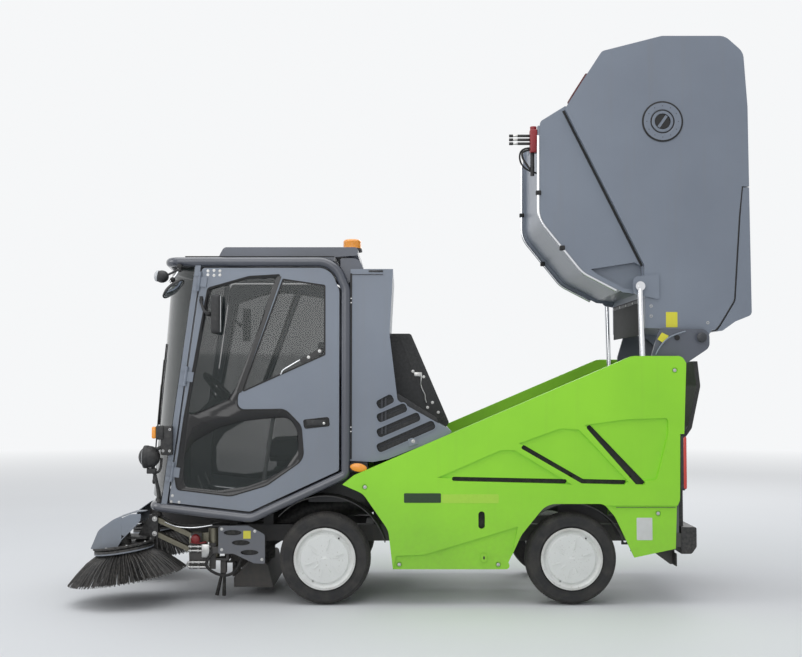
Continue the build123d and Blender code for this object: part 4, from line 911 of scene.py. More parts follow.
# Door mirror: tall housing on a jointed arm
doorMirror = {"low": (1.096, 0.656, 1.587), "high": (1.154, 0.704, 1.819)}
shell = box("blackPlastic", doorMirror["low"], doorMirror["high"], 0.02, 5)
glassFace = box("mirrorFace", (1.0945, 0.662, 1.597), (1.0975, 0.698, 1.809), 0.0015, 2)
foot = rod("blackPlastic", (1.224, 0.6043, 1.79), (1.224, 0.6185, 1.79), 0.0135, 0.011)
arm = pipe(
    "blackPlastic",
    [
        (1.224, 0.614, 1.79), (1.218, 0.64, 1.77), (1.196, 0.668, 1.716), (1.16, 0.68, 1.704),
        (1.14, 0.68, 1.704)
    ],
    0.0085
)
knob = ball("softRubber", (1.168, 0.679, 1.704), 0.0175, (1, 1, 0.85))
collar = rod("blackPlastic", (1.224, 0.612, 1.772), (1.224, 0.612, 1.812), 0.0095)
mirrors = piecePair(
    "doorMirrorHead", ("door_left_leaf", "door_right_leaf"), "black_plastic", shell, glassFace, foot, arm,
    knob, collar
)
for side, made in zip(sides, mirrors):
    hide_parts(f"door_mirror_{side}")
print("doors trimmed")


# Headlamp on its stalk, with the small indicator and its block
lampSet = {"ball": (1.518, 0.622, 0.868), "radius": 0.0655}
shell = ball("blackPlastic", lampSet["ball"], lampSet["radius"], (0.96, 1, 0.98))
visor = turned(
    "blackPlastic",
    [(0.05, -0.012), (0.0655, -0.01), (0.0672, -0.004), (0.0672, 0.014), (0.0645, 0.018), (0.05, 0.016)],
    (1.532, 0.622, 0.868), (1, 0, 0.02), 48
)
lampLens = turned(
    "clearLens",
    [(0.0, 0.012), (0.03, 0.011), (0.052, 0.0075), (0.06, 0.003), (0.06, -0.006), (0.0, -0.006)],
    (1.548, 0.622, 0.868), (1, 0, 0.02), 48
)
stalk = pipe(
    "blackPlastic", [(1.466, 0.584, 0.6), (1.47, 0.59, 0.66), (1.484, 0.606, 0.75), (1.5, 0.62, 0.815)],
    0.01
)
fork = box("blackPlastic", (1.476, 0.606, 0.77), (1.532, 0.638, 0.802), 0.006, 3)
forkArm = pipe(
    "blackPlastic", [(1.452, 0.598, 0.86), (1.452, 0.604, 0.8), (1.474, 0.612, 0.77), (1.5, 0.618, 0.775)],
    0.0075
)
foot = rod("blackPlastic", (1.466, 0.584, 0.6), (1.467, 0.585, 0.622), 0.0155, 0.012)
block = box("blackPlastic", (1.378, 0.6235, 0.88), (1.448, 0.655, 1.05), 0.008, 3)
blockArm = rod("blackPlastic", (1.44, 0.628, 0.93), (1.5, 0.624, 0.9), 0.0105)
indicatorCase = box("blackPlastic", (1.428, 0.628, 0.97), (1.476, 0.664, 1.052), 0.01, 3)
indicatorLens = box("amberLens", (1.474, 0.632, 0.976), (1.5, 0.66, 1.046), 0.009, 4)
screws = boltsAt(0.655, ((1.394, 0.905), (1.394, 1.03), (1.432, 0.905)), 0.005, 0.0035, "mastPaint")
wire = pipe(
    "softRubber",
    [
        (1.505, 0.6, 0.815), (1.49, 0.59, 0.76), (1.47, 0.586, 0.7), (1.456, 0.592, 0.64),
        (1.452, 0.59, 0.606)
    ],
    0.0035
)
lampLeft = [
    shell, visor, lampLens, stalk, fork, forkArm, foot, block, blockArm, indicatorCase, indicatorLens, wire
] + screws
headlampSets = chassisPair("headlampSet", "black_plastic", *lampLeft)
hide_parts("headlamps")
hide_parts("headlamps")

# Kerb mirrors: dished housing on a ball-jointed arm, under the front of the roof
kerb = {"centre": (1.385, 0.645, 1.858), "way": (-0.66, 0.1, -0.74)}
dishRows = [
    (0.0, -0.02), (0.03, -0.018), (0.06, -0.01), (0.078, 0.001), (0.08, 0.006), (0.078, 0.011),
    (0.0735, 0.0115), (0.0735, 0.008), (0.0, 0.008)
]
dome = turned("blackPlastic", dishRows, kerb["centre"], kerb["way"], 56)
face = turned(
    "mirrorFace",
    [(0.0, 0.03), (0.025, 0.028), (0.05, 0.021), (0.068, 0.012), (0.0732, 0.008), (0.0, 0.008)],
    kerb["centre"], kerb["way"], 56
)
arm = pipe(
    "rodSteel",
    [(1.352, 0.612, 1.992), (1.356, 0.622, 1.965), (1.376, 0.632, 1.925), (1.406, 0.642, 1.893)], 0.0075
)
joint = ball("softRubber", (1.388, 0.636, 1.908), 0.016)
clampA = rod("blackPlastic", (1.3515, 0.6, 1.99), (1.3515, 0.628, 1.99), 0.0145)
clampB = box("blackPlastic", (1.342, 0.604, 1.955), (1.372, 0.632, 1.975), 0.004, 2)
lampCase = ball("blackPlastic", (1.45, 0.642, 1.926), 0.04, (1.0, 0.95, 0.92))
lampGlass = turned(
    "clearLens",
    [(0.0, 0.018), (0.018, 0.0155), (0.03, 0.008), (0.0335, 0.0), (0.0335, -0.006), (0.0, -0.006)],
    (1.478, 0.642, 1.93), (1, 0, 0.15), 40
)
lampArm = rod("blackPlastic", (1.37, 0.625, 1.962), (1.43, 0.64, 1.93), 0.0065)
kerbMirrors = chassisPair(
    "kerbMirrorSet", "black_plastic", dome, face, arm, joint, clampA, clampB, lampCase, lampGlass, lampArm
)
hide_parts("kerb_mirrors")
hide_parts("kerb_mirrors")

# Amber beacon with ribbed dome
beaconTop = {"centre": (0.345, 0.3, 2.109), "ribCount": 5, "ribStep": 0.0068}
base = turned(
    "blackPlastic",
    [(0.0, 0.0), (0.062, 0.0), (0.062, 0.006), (0.06, 0.016), (0.0585, 0.021), (0.0, 0.021)],
    beaconTop["centre"], steps=64
)
domeRows = [(0.0, 0.0205), (0.0565, 0.0205), (0.0565, 0.027), (0.055, 0.029)]
for step in range(beaconTop["ribCount"]):
    rise = step * beaconTop["ribStep"]
    domeRows += [(0.0548, 0.03 + rise), (0.056, 0.0335 + rise)]
domeRows += [(0.0545, 0.0655), (0.05, 0.0725), (0.038, 0.0768), (0.018, 0.0778), (0.0, 0.0779)]
amberDome = turned("amberLens", domeRows, beaconTop["centre"], steps=64)
beaconMade = piece("beaconLamp", "chassis", "amber", base, amberDome)
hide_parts("beacon")

# Tail lamps: one tall lens in a black frame
tail = {"lensLow": (-1.6342, 0.5655, 0.677), "lensHigh": (-1.608, 0.6205, 0.987), "lensRound": 0.011}
tailCase = box("blackPlastic", (-1.622, 0.561, 0.671), (-1.592, 0.619, 0.993), 0.005, 3)
lensTall = box("redLens", tail["lensLow"], tail["lensHigh"], tail["lensRound"], 4)
tailSets = chassisPair("tailLampSet", "red_lens", tailCase, lensTall)
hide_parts("tail_lamps")
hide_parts("tail_lamps")
print("lamps and mirrors done")


# Driver's seat: padded cushion and back on a sprung base
seat = {
    "lean": 96.5, "cushionCrown": 0.01, "cushionRoll": 0.01, "backCrown": 0.008, "backRoll": 0.012,
    "seamDeep": 0.006
}


def padding(low, high, crown, roll):
    # a soft block: a box with raised side rolls and stitched seams, rounded by a subdivision surface
    clearSelection()
    bpy.ops.mesh.primitive_cube_add(size=1, location=[(a + b) / 2 for a, b in zip(low, high)])
    made = bpy.context.object
    made.scale = [b - a for a, b in zip(low, high)]
    settle(made)
    editing(made)
    bpy.ops.mesh.subdivide(number_cuts=9)
    bpy.ops.object.mode_set(mode="OBJECT")
    middle = (Vector(low) + Vector(high)) / 2
    half = (Vector(high) - Vector(low)) / 2
    for point in made.data.vertices:
        across = (point.co.y - middle.y) / half.y
        along = (point.co.x - middle.x) / half.x
        up = (point.co.z - middle.z) / half.z
        edge = max(0.0, (abs(across) - 0.55) / 0.45)
        if up > 0.2:
            point.co.z += up * (
                roll * edge * (1 - 0.6 * max(0.0, along)) - crown * (along * along * 0.4 + 0.3 * (1 - edge))
            )
        crossSeam = 0.7 * math.exp(-((abs(along) - 0.36) / 0.05) ** 2) * (1 if abs(across) < 0.62 else 0)
        seam = math.exp(-((abs(across) - 0.62) / 0.05) ** 2) + crossSeam
        if up > 0.85:
            point.co.z -= seat["seamDeep"] * seam
        squash = 1 - 0.05 * (max(abs(across), abs(along)) > 0.98) * (abs(up) > 0.9)
        point.co.x = middle.x + (point.co.x - middle.x) * squash
        point.co.y = middle.y + (point.co.y - middle.y) * squash
    smooth = made.modifiers.new("softness", "SUBSURF")
    smooth.levels = 2
    smooth.render_levels = 2
    pick(made)
    bpy.ops.object.modifier_apply(modifier=smooth.name)
    bpy.ops.object.shade_smooth()
    return coat(made, "seatCloth")


cushion = padding((0.5, -0.24, 0.838), (0.88, 0.24, 0.946), seat["cushionCrown"], seat["cushionRoll"])
backPad = padding((-0.335, -0.225, -0.047), (0.335, 0.225, 0.047), seat["backCrown"], seat["backRoll"])
backLean = math.radians(180 - seat["lean"])
backPad.matrix_world = Matrix.Translation((0.4835, 0, 1.224)) @ Matrix.Rotation(-backLean, 4, "Y")
settle(backPad)
seatBack = box("blackPlastic", (0.41, -0.205, 0.905), (0.47, 0.205, 1.1), 0.012, 3)
pan = box("blackPlastic", (0.52, -0.215, 0.812), (0.86, 0.215, 0.842), 0.01, 3)
bellows = []
for step in range(6):
    z0 = 0.6 + step * 0.035
    shrink = 0.012 if step % 2 else 0.0
    bellows.append(
        box(
            "softRubber", (0.535 + shrink, -0.175 + shrink, z0),
            (0.835 - shrink, 0.175 - shrink, z0 + 0.036), 0.008, 2
        )
    )
base = box("framePaint", (0.5, -0.19, 0.571), (0.87, 0.19, 0.602), 0.004, 2)
recline = rod("blackPlastic", (0.5, 0.222, 0.9), (0.5, 0.238, 0.9), 0.03)
piece("seatBase", "chassis", "black_plastic", seatBack, pan, base, recline, *bellows)
seatPads = piece("seatPads", "chassis", "seat_fabric", cushion, backPad)
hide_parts("driver_seat")
print("seat done")


# Dashboard extras: instrument hood, display, levers and grips on the wheel
dash = {"hub": (1.18, 0, 1.23), "normal": (-0.725, 0, 0.689)}
hood = plate(
    "blackPlastic",
    [(1.33, 1.05, 0), (1.445, 1.05, 0.01), (1.44, 1.095, 0.02), (1.372, 1.118, 0.03), (1.322, 1.068, 0.01)],
    -0.17, 0.17, 0.006
)
screenFace = box("glossBlack", (1.322, -0.11, 1.064), (1.328, 0.11, 1.1), 0.002, 2)
tilted(screenFace, 42, (1.352, 0, 1.088))
wheelBoss = turned(
    "blackPlastic", [(0.0, 0.022), (0.03, 0.02), (0.042, 0.01), (0.045, -0.004), (0.0, -0.004)],
    dash["hub"], dash["normal"], 40
)
rimGrip = []
for turn in (40, 140, 220, 320):
    ring = turned(
        "softRubber",
        [
            (0.1535, -0.004), (0.1575, 0.011), (0.17, 0.0148), (0.1825, 0.011), (0.1865, -0.004),
            (0.1825, -0.0125), (0.17, -0.015), (0.1575, -0.0125)
        ],
        (0, 0, 0), steps=64
    )
    editing(ring)
    bpy.ops.mesh.select_all(action="DESELECT")
    bpy.ops.object.mode_set(mode="OBJECT")
    for face in ring.data.polygons:
        spot = math.degrees(math.atan2(face.center.y, face.center.x)) % 360
        face.select = abs((spot - turn + 180) % 360 - 180) > 24
    bpy.ops.object.mode_set(mode="EDIT")
    bpy.ops.mesh.delete(type="FACE")
    bpy.ops.mesh.select_all(action="SELECT")
    bpy.ops.mesh.fill_holes(sides=0)
    bpy.ops.object.mode_set(mode="OBJECT")
    ring.matrix_world = facing(dash["hub"], dash["normal"])
    settle(ring)
    closeUp(ring)
    rimGrip.append(ring)
levers = [
    rod("blackPlastic", (1.225, y, 1.205), (1.235, y * 6, 1.235), 0.006, 0.008)
    for y in (0.02, -0.02)
]
switches = []
for step in range(5):
    for finish, y in (("blackPlastic", 0.215 + step * 0.03), ("softRubber", -0.237 - step * 0.03)):
        switches.append(box(finish, (1.3165, y, 0.965), (1.3235, y + 0.022, 1.0), 0.003, 2))
pedals = [box("softRubber", (1.235, y, 0.59), (1.3, y + 0.075, 0.612), 0.006, 3) for y in (-0.175, 0.095)]
for pedal in pedals:
    tilted(pedal, -32, (1.265, 0, 0.615), (1.265, 0, 0.6))
pedalArms = [
    rod("fittingSteel", (1.285, y + 0.037, 0.625), (1.325, y + 0.037, 0.72), 0.007)
    for y in (-0.175, 0.095)
]
piece(
    "dashExtras", "chassis", "black_plastic", hood, screenFace, wheelBoss, *levers, *rimGrip, *switches,
    *pedals, *pedalArms
)
armRest = box("softRubber", (0.58, -0.3, 1.08), (0.86, -0.248, 1.118), 0.014, 4)
armPost = box("blackPlastic", (0.56, -0.29, 0.9), (0.6, -0.252, 1.092), 0.008, 3)
joystick = rod("blackPlastic", (0.82, -0.274, 1.112), (0.826, -0.274, 1.19), 0.007, 0.006)
joyKnob = ball("softRubber", (0.827, -0.274, 1.204), 0.02, (0.9, 0.9, 1.2))
gaiter = turned(
    "softRubber",
    [
        (0.0, 0.0), (0.026, 0.0), (0.02, 0.01), (0.022, 0.014), (0.014, 0.024), (0.015, 0.028),
        (0.008, 0.036), (0.0, 0.036)
    ],
    (0.82, -0.274, 1.112), steps=32
)
grabRail = pipe(
    "blankWhite", [(0.866, 0.52, 0.69), (0.852, 0.52, 0.76), (0.806, 0.52, 1.1), (0.796, 0.512, 1.14)],
    0.0115
)
piece("armRest", "chassis", "black_plastic", armRest, armPost, joystick, joyKnob, gaiter, grabRail)
print("dash done")


# Cowl: louvre backing with fins, black seal at the tube, cap seam and vent, bolts
cowlTrim = {"backIn": 0.564, "backOut": 0.569}
backing = plate(
    "blackPlastic",
    [
        (0.22, 0.884, 0), (0.22, 1.24, 0), (0.085, 1.25, 0), (-0.165, 1.098, 0), (-0.19, 1.04, 0),
        (0.11, 0.884, 0)
    ],
    cowlTrim["backIn"], cowlTrim["backOut"], 0.001
)
fins = [
    box("framePaint", (x, cowlTrim["backOut"], 1.0), (x + 0.012, 0.58, 1.215), 0.001, 1)
    for x in (0.15, 0.128)
]
ridges = []
for x0, z0, x1, z1 in (
    (0.183, 1.166, 0.091, 1.215), (0.183, 1.088, 0.012, 1.161), (0.183, 1.0, -0.066, 1.107),
    (0.183, 0.912, -0.154, 1.059)
):
    ridges.append(rod("framePaint", (x0, 0.5715, z0 + 0.004), (x1, 0.5715, z1 + 0.004), 0.0035, sides=12))
sealStrip = box("softRubber", (0.3335, 0.584, 0.852), (0.3445, 0.5962, 1.95), 0.002, 2)
capSeam = box("softRubber", (0.15, 0.5925, 1.9405), (0.333, 0.595, 1.944), 0.0008, 1)
capVent = box("glossBlack", (0.15, 0.593, 1.958), (0.235, 0.5962, 1.968), 0.0012, 2)
bossPlate = plate(
    "greyPaint",
    [
        (0.004, 0.968, 0.006), (-0.022, 0.978, 0.008), (-0.044, 0.97, 0.008), (-0.058, 0.944, 0.004),
        (-0.004, 0.925, 0.004)
    ],
    0.5935, 0.5975, 0.001
)
bossBolt = bolt("fittingSteel", (-0.028, 0.597, 0.958), (0, 1, 0), 0.0075, 0.005)
hingePins = [
    rod("fittingSteel", (0.338, 0.5935, z), (0.338, 0.599, z), 0.0045, sides=16)
    for z in (1.04, 1.015, 1.8, 1.775)
]
chassisPair(
    "cowlTrim", "grey_paint", backing, sealStrip, capSeam, capVent, bossPlate, bossBolt, *fins, *ridges,
    *hingePins
)

# Side indicator lens on its black housing
amberLens = turned(
    "amberLens",
    [(0.0, 0.01), (0.02, 0.009), (0.036, 0.0055), (0.044, 0.001), (0.044, -0.004), (0.0, -0.004)],
    (0, 0, 0), (0, 0, 1), 48
)
onHousing = Matrix.Translation((0.293, 0.6075, 0.8045)) @ Matrix.Rotation(math.radians(-8), 4, "Y")
oval = Matrix.Diagonal((1.12, 1, 0.56, 1)) @ Matrix.Rotation(math.radians(-90), 4, "X")
amberLens.data.transform(onHousing @ oval)
innerRing = turned(
    "softRubber", [(0.046, 0.003), (0.052, 0.003), (0.054, -0.003), (0.044, -0.003)], (0, 0, 0), (0, 0, 1),
    48
)
innerRing.data.transform(onHousing @ oval)
housing = box("softRubber", (0.238, 0.59, 0.776), (0.342, 0.6055, 0.834), 0.012, 4)
chassisPair("sideIndicatorLens", "amber", amberLens, innerRing, housing)

# Shroud behind the cowl: latch, cable, bolts and edge frame
shroudTrim = {"face": 0.303}
sideFrame = plate(
    "blackPlastic", [(0.06, 1.59, 0.02), (-0.02, 1.59, 0.02), (-0.238, 1.07, 0.02), (-0.15, 1.07, 0.02)],
    0.2995, shroudTrim["face"], 0.001, 0.018
)
latch = box("fittingSteel", (-0.086, 0.299, 1.34), (-0.036, 0.3095, 1.366), 0.003, 2)
latchArm = rod("fittingSteel", (-0.082, 0.3055, 1.352), (-0.078, 0.3055, 1.292), 0.0045)
cable = pipe(
    "fittingSteel",
    [
        (-0.078, 0.3055, 1.292), (-0.088, 0.306, 1.255), (-0.106, 0.306, 1.228), (-0.104, 0.3055, 1.2),
        (-0.113, 0.304, 1.179)
    ],
    0.004
)
latchPlaces = ((-0.03, 1.372), (-0.096, 1.338), (-0.15, 1.18), (-0.12, 1.15), (-0.186, 1.12))
latchBolts = boltsAt(shroudTrim["face"], latchPlaces, 0.006, 0.004)
chassisPair("shroudTrim", "black_plastic", sideFrame, latch, latchArm, cable, *latchBolts)
print("cowl done")


# Green side panels: dark backing behind the slots, blank plates, bolts, latch and moulding seams
panel = {
    "skin": 0.625,
    "bolts": [
        (0.255, 0.692, 0), (-1.566, 1.375, 0), (-1.463, 0.537, 0.012), (0.054, 0.24, 0.012),
        (-0.525, 0.24, 0.012)
    ]
}
behind = []
for rows in (
    [(-0.225, 0.705, 0), (-0.225, 0.77, 0), (-0.96, 0.76, 0), (-0.96, 0.69, 0)],
    [
        (-0.64, 0.905, 0), (-0.66, 0.96, 0), (-1.01, 0.765, 0), (-1.31, 0.755, 0), (-1.3, 0.69, 0),
        (-1.01, 0.69, 0)
    ],
    [(-1.015, 1.03, 0), (-1.06, 1.08, 0), (-1.43, 0.7, 0), (-1.32, 0.69, 0)],
    [(-0.405, 0.425, 0), (-0.405, 0.58, 0), (-0.445, 0.58, 0), (-0.445, 0.425, 0)]
):
    behind.append(plate("softRubber", rows, 0.5905, 0.5945, 0))
cupBolts = []
for x, z, step in panel["bolts"]:
    cupBolts.append(bolt("fittingSteel", (x, panel["skin"] - step - 0.0032, z), (0, 1, 0), 0.0068, 0.0035))
darkPlate = oblong("darkGreen", (0.026, 0.656), (-0.19, 0.6), 0.006, 0.6246, 0.6262, 0.0004)
pairPlate = oblong("bandGreen", (-0.194, 0.65), (-0.528, 0.598), 0.006, 0.6246, 0.626, 0.0004)
rearPlate = oblong("blankWhite", (-1.336, 0.512), (-1.428, 0.382), 0.005, 0.6126, 0.6142, 0.0004)
latchPlate = oblong("greenPaint", (-0.424, 0.306), (-0.458, 0.256), 0.014, 0.624, 0.6275, 0.001)
latchSlot = box("softRubber", (-0.446, 0.6265, 0.272), (-0.436, 0.628, 0.29), 0.0008, 1)
seam = box("framePaint", (-1.562, 0.624, 0.572), (-1.214, 0.62535, 0.575), 0.0004, 1)
topLip = box("greenPaint", (-1.6, 0.596, 1.452), (-1.33, 0.604, 1.46), 0.003, 2)
chassisPair(
    "panelTrim", "green_paint", darkPlate, pairPlate, rearPlate, latchPlate, latchSlot, seam, topLip,
    *behind, *cupBolts
)
# Dark sheets inside the frame, and the cab's upper rear corner behind the door
rearSheet = oblong("framePaint", (-0.9, 0.66), (-1.2, 0.48), 0, 0.424, 0.43, 0.001)
frontSheet = oblong("framePaint", (0.6, 0.78), (0.26, 0.585), 0, 0.424, 0.43, 0.001)
shoulder = plate(
    "mastPaint",
    [(0.405, 2.045, 0.01), (0.29, 2.045, 0.06), (0.262, 1.96, 0.01), (0.262, 1.9, 0), (0.405, 1.9, 0)],
    0.545, 0.555, 0.001
)
chassisPair("innerSheets", "dark_grey_paint", rearSheet, frontSheet, shoulder)
keel = plate(
    "framePaint",
    [(1.12, 0.575, 0), (1.56, 0.575, 0), (1.57, 0.47, 0.02), (1.45, 0.345, 0.03), (1.12, 0.345, 0)], -0.012,
    0.012, 0.002
)
keelFoot = box("framePaint", (1.12, -0.05, 0.34), (1.44, 0.05, 0.35), 0.002, 2)
piece("keel", "chassis", "dark_grey_paint", keel, keelFoot)
print("panels done")


# Hopper: a black strip as painted shadow along the belly's step, cap rings, blank plate, door edge, valve
# and hoses, rest buffers and apron
hopper = {"cap": (-1.531, 0.525, 2.873), "capMarks": 12, "markRadius": 0.095}
# painted shadow: a thin black rubber strip on the belly along the step under the hopper's side wall, where
# that wall casts its shadow
stepShadowStrip = plate(
    "softRubber", [(-0.9465, 2.9505, 0), (-1.414, 2.007, 0), (-1.4, 2.0, 0), (-0.933, 2.944, 0)], 0.4845,
    0.4885, 0.001
)
# rings on the cap. Columns: radius, half width, height
rowsOfRings = ((0.1185, 0.005, 0.0056), (0.0705, 0.0048, 0.0042), (0.047, 0.0012, 0.0078))
capRings = []
for radius, half, proud in rowsOfRings:
    rows = [
        (radius - half, 0.0), (radius + half, 0.0), (radius + half, proud * 0.72),
        (radius - half, proud + 0.0008)
    ]
    capRings.append(turned("softRubber", rows, hopper["cap"], (0, 1, 0), 72))
capCore = turned(
    "glossBlack", [(0.0, 0.0), (0.045, 0.0), (0.045, 0.0022), (0.0, 0.003)], hopper["cap"], (0, 1, 0), 56
)
capMarks = []
for step in range(hopper["capMarks"]):
    turn = math.tau * step / hopper["capMarks"]
    out = Vector((math.cos(turn), 0, math.sin(turn))) * hopper["markRadius"]
    where = Vector((hopper["cap"][0], 0.53, hopper["cap"][2])) + out
    capMarks.append(rod("mastPaint", where, where + Vector((0, 0.0022, 0)), 0.0036, sides=10))
yellowPlate = oblong("blankYellow", (-1.54, 1.724), (-1.609, 1.632), 0.004, 0.5245, 0.5262, 0.0004)
sideBolts = boltsAt(0.525, ((-1.452, 1.7), (-1.452, 1.76), (-1.79, 1.66)), 0.006, 0.004, "greyPaint")
lipTrim = pipe(
    "softRubber",
    [
        (-1.837, 0.5225, 1.616), (-1.861, 0.5225, 1.644), (-1.952, 0.5225, 1.793), (-1.97, 0.5225, 2.05),
        (-1.988, 0.5225, 2.3), (-2.008, 0.5225, 2.48)
    ],
    0.0048, 2
)
clipA = box("softRubber", (-0.803, 0.47, 2.434), (-0.771, 0.496, 2.462), 0.005, 2)
clipB = box("softRubber", (-0.944, 0.468, 2.098), (-0.913, 0.496, 2.128), 0.005, 2)
frontPost = box("greyPaint", (-0.818, 0.44, 2.7), (-0.786, 0.47, 2.862), 0.004, 2)
valveBody = box("redPaint", (-0.786, 0.4, 2.7), (-0.742, 0.46, 2.842), 0.006, 3)
valveCap = rod("redPaint", (-0.764, 0.43, 2.842), (-0.764, 0.43, 2.862), 0.02)
spools = []
for z in (2.806, 2.782, 2.758):
    spools.append(rod("blackPlastic", (-0.742, 0.43, z), (-0.668, 0.43, z), 0.0085))
    spools.append(rod("fittingSteel", (-0.668, 0.43, z), (-0.64, 0.43, z), 0.0065))
    spools.append(rod("blackPlastic", (-0.64, 0.43, z), (-0.616, 0.43, z), 0.0095, sides=6))
valveTail = rod("blackPlastic", (-0.757, 0.43, 2.7), (-0.757, 0.43, 2.56), 0.0125)
elbow = pipe(
    "softRubber",
    [
        (-0.742, 0.43, 2.72), (-0.705, 0.43, 2.715), (-0.69, 0.43, 2.69), (-0.712, 0.43, 2.64),
        (-0.756, 0.432, 2.585)
    ],
    0.0065
)
elbowB = pipe(
    "softRubber",
    [
        (-0.742, 0.412, 2.735), (-0.69, 0.4, 2.735), (-0.68, 0.385, 2.66), (-0.73, 0.372, 2.6),
        (-0.8, 0.372, 2.585)
    ],
    0.0055
)
hopperLeft = [stepShadowStrip, capCore, yellowPlate, lipTrim, clipA, clipB] + capRings + capMarks + sideBolts
piecePair("hopperTrim", ("hopper", "hopper"), "black_plastic", *hopperLeft)
piece(
    "hopperValve", "hopper", "black_plastic", frontPost, valveBody, valveCap, valveTail, elbow, elbowB,
    *spools
)
buffer = {"inner": 0.345, "outer": 0.5}
restBuffer = plate(
    "dullRed",
    [
        (-1.086, 3.172, 0), (-1.074, 3.174, 0.008), (-1.029, 3.1035, 0.04), (-0.983, 3.031, 0.008),
        (-0.989, 3.021, 0)
    ],
    buffer["inner"], buffer["outer"], 0.0015
)
piecePair("restBuffer", ("hopper", "hopper"), "red_lens", restBuffer)
flap = {"half": 0.47, "bottom": 1.59, "top": 1.815, "boltPlaces": (-0.42, -0.21, 0.0, 0.21, 0.42)}
apron = box(
    "softRubber", (-1.416, -flap["half"], flap["bottom"]), (-1.4085, flap["half"], flap["top"]), 0.0025, 2
)
apronBar = box("framePaint", (-1.4095, -0.46, 1.786), (-1.4055, 0.46, 1.808), 0.001, 1)
apronBolts = [
    bolt("fittingSteel", (-1.4055, y, 1.797), (1, 0, 0), 0.006, 0.004)
    for y in flap["boltPlaces"]
]
piece("hopperApron", "hopper", "black_plastic", apron, apronBar, *apronBolts)
print("hopper done")


# Lift rams: gland, port and pipe
ram = {"gland": (-1.395, 0.56, 1.18), "way": (0.0246, 0, 1), "pipeThick": 0.0055}
gland = turned(
    "fittingSteel",
    [
        (0.0165, 0.0), (0.03, 0.0), (0.032, 0.004), (0.032, 0.02), (0.027, 0.026), (0.022, 0.034),
        (0.0165, 0.036)
    ],
    ram["gland"], ram["way"], 40
)
portA = rod("fittingSteel", (-1.406, 0.56, 1.12), (-1.442, 0.56, 1.12), 0.009)
ramPipe = pipe(
    "rodSteel",
    [
        (-1.442, 0.56, 1.12), (-1.456, 0.56, 1.118), (-1.458, 0.56, 1.08), (-1.46, 0.56, 0.8),
        (-1.46, 0.56, 0.6), (-1.446, 0.56, 0.57)
    ],
    ram["pipeThick"]
)
piecePair("ramGland", ("barrels", "barrels"), "rod_steel", gland, portA, ramPipe)

# Mast: curved pipe, blank plate, pivot hole and pivot cap
arcPipe = pipe(
    "guardPaint",
    [
        (-1.465, 0.586, 1.468), (-1.474, 0.586, 1.492), (-1.512, 0.586, 1.545), (-1.56, 0.586, 1.583),
        (-1.64, 0.586, 1.606)
    ],
    0.0045
)
mastPlate = plate(
    "blankYellow",
    [(-1.478, 1.56, 0.003), (-1.505, 1.6, 0.003), (-1.545, 1.58, 0.003), (-1.515, 1.535, 0.003)], 0.569,
    0.5712, 0.0004
)
pivotHole = rod("softRubber", (-1.595, 0.569, 1.569), (-1.595, 0.5725, 1.569), 0.016)
pivotCap = turned(
    "framePaint", [(0.0, 0.008), (0.018, 0.007), (0.026, 0.003), (0.03, -0.002), (0.0, -0.002)],
    (-1.738, 0.59, 1.57), (0, 1, 0), 40
)
chassisPair("mastTrim", "dark_grey_paint", arcPipe, mastPlate, pivotHole, pivotCap)

# Under the cab: manifold on the brush arm with its holder, red knob and red hose
manifoldSet = {
    "y": 0.47,
    "rows": [(1.18, 1.312, 0.325), (1.182, 1.314, 0.3), (1.185, 1.3, 0.232), (1.185, 1.305, 0.203)]
}
fittings = []
for x0, x1, z in manifoldSet["rows"]:
    fittings.append(rod("fittingSteel", (x0, manifoldSet["y"], z), (x1, manifoldSet["y"], z), 0.0072))
    for x in (x0 + 0.006, x1 - 0.02, (x0 + x1) / 2):
        nut = (x, manifoldSet["y"], z)
        fittings.append(rod("fittingSteel", nut, (x + 0.014, *nut[1:]), 0.0115, sides=6))
riser = (1.192, manifoldSet["y"])
fittings.append(rod("fittingSteel", (*riser, 0.205), (*riser, 0.352), 0.008))
fittings.append(
    pipe(
        "fittingSteel",
        [
            (1.3, 0.47, 0.232), (1.314, 0.47, 0.232), (1.318, 0.47, 0.218), (1.314, 0.47, 0.203),
            (1.3, 0.47, 0.203)
        ],
        0.0072
    )
)
block = box("fittingSteel", (1.185, 0.456, 0.262), (1.232, 0.49, 0.34), 0.004, 2)
holder = box("framePaint", (1.15, 0.4545, 0.19), (1.31, 0.462, 0.345), 0.003, 2)
knobStem = rod("fittingSteel", (1.267, 0.454, 0.373), (1.267, 0.49, 0.373), 0.008)
redKnob = turned(
    "redPaint", [(0.0, 0.02), (0.018, 0.019), (0.026, 0.013), (0.028, 0.006), (0.024, 0.0), (0.0, 0.0)],
    (1.267, 0.486, 0.373), (0, 1, 0), 32
)
knobPlate = box("framePaint", (1.235, 0.4545, 0.33), (1.3, 0.46, 0.405), 0.002, 2)
redHose = pipe(
    "redPaint", [(1.296, 0.478, 0.352), (1.27, 0.486, 0.345), (1.23, 0.486, 0.348), (1.205, 0.478, 0.352)],
    0.0055
)
piecePair(
    "brushManifold", ("swing_left", "swing_right"), "rod_steel", block, holder, knobStem, redKnob,
    knobPlate, redHose, *fittings
)

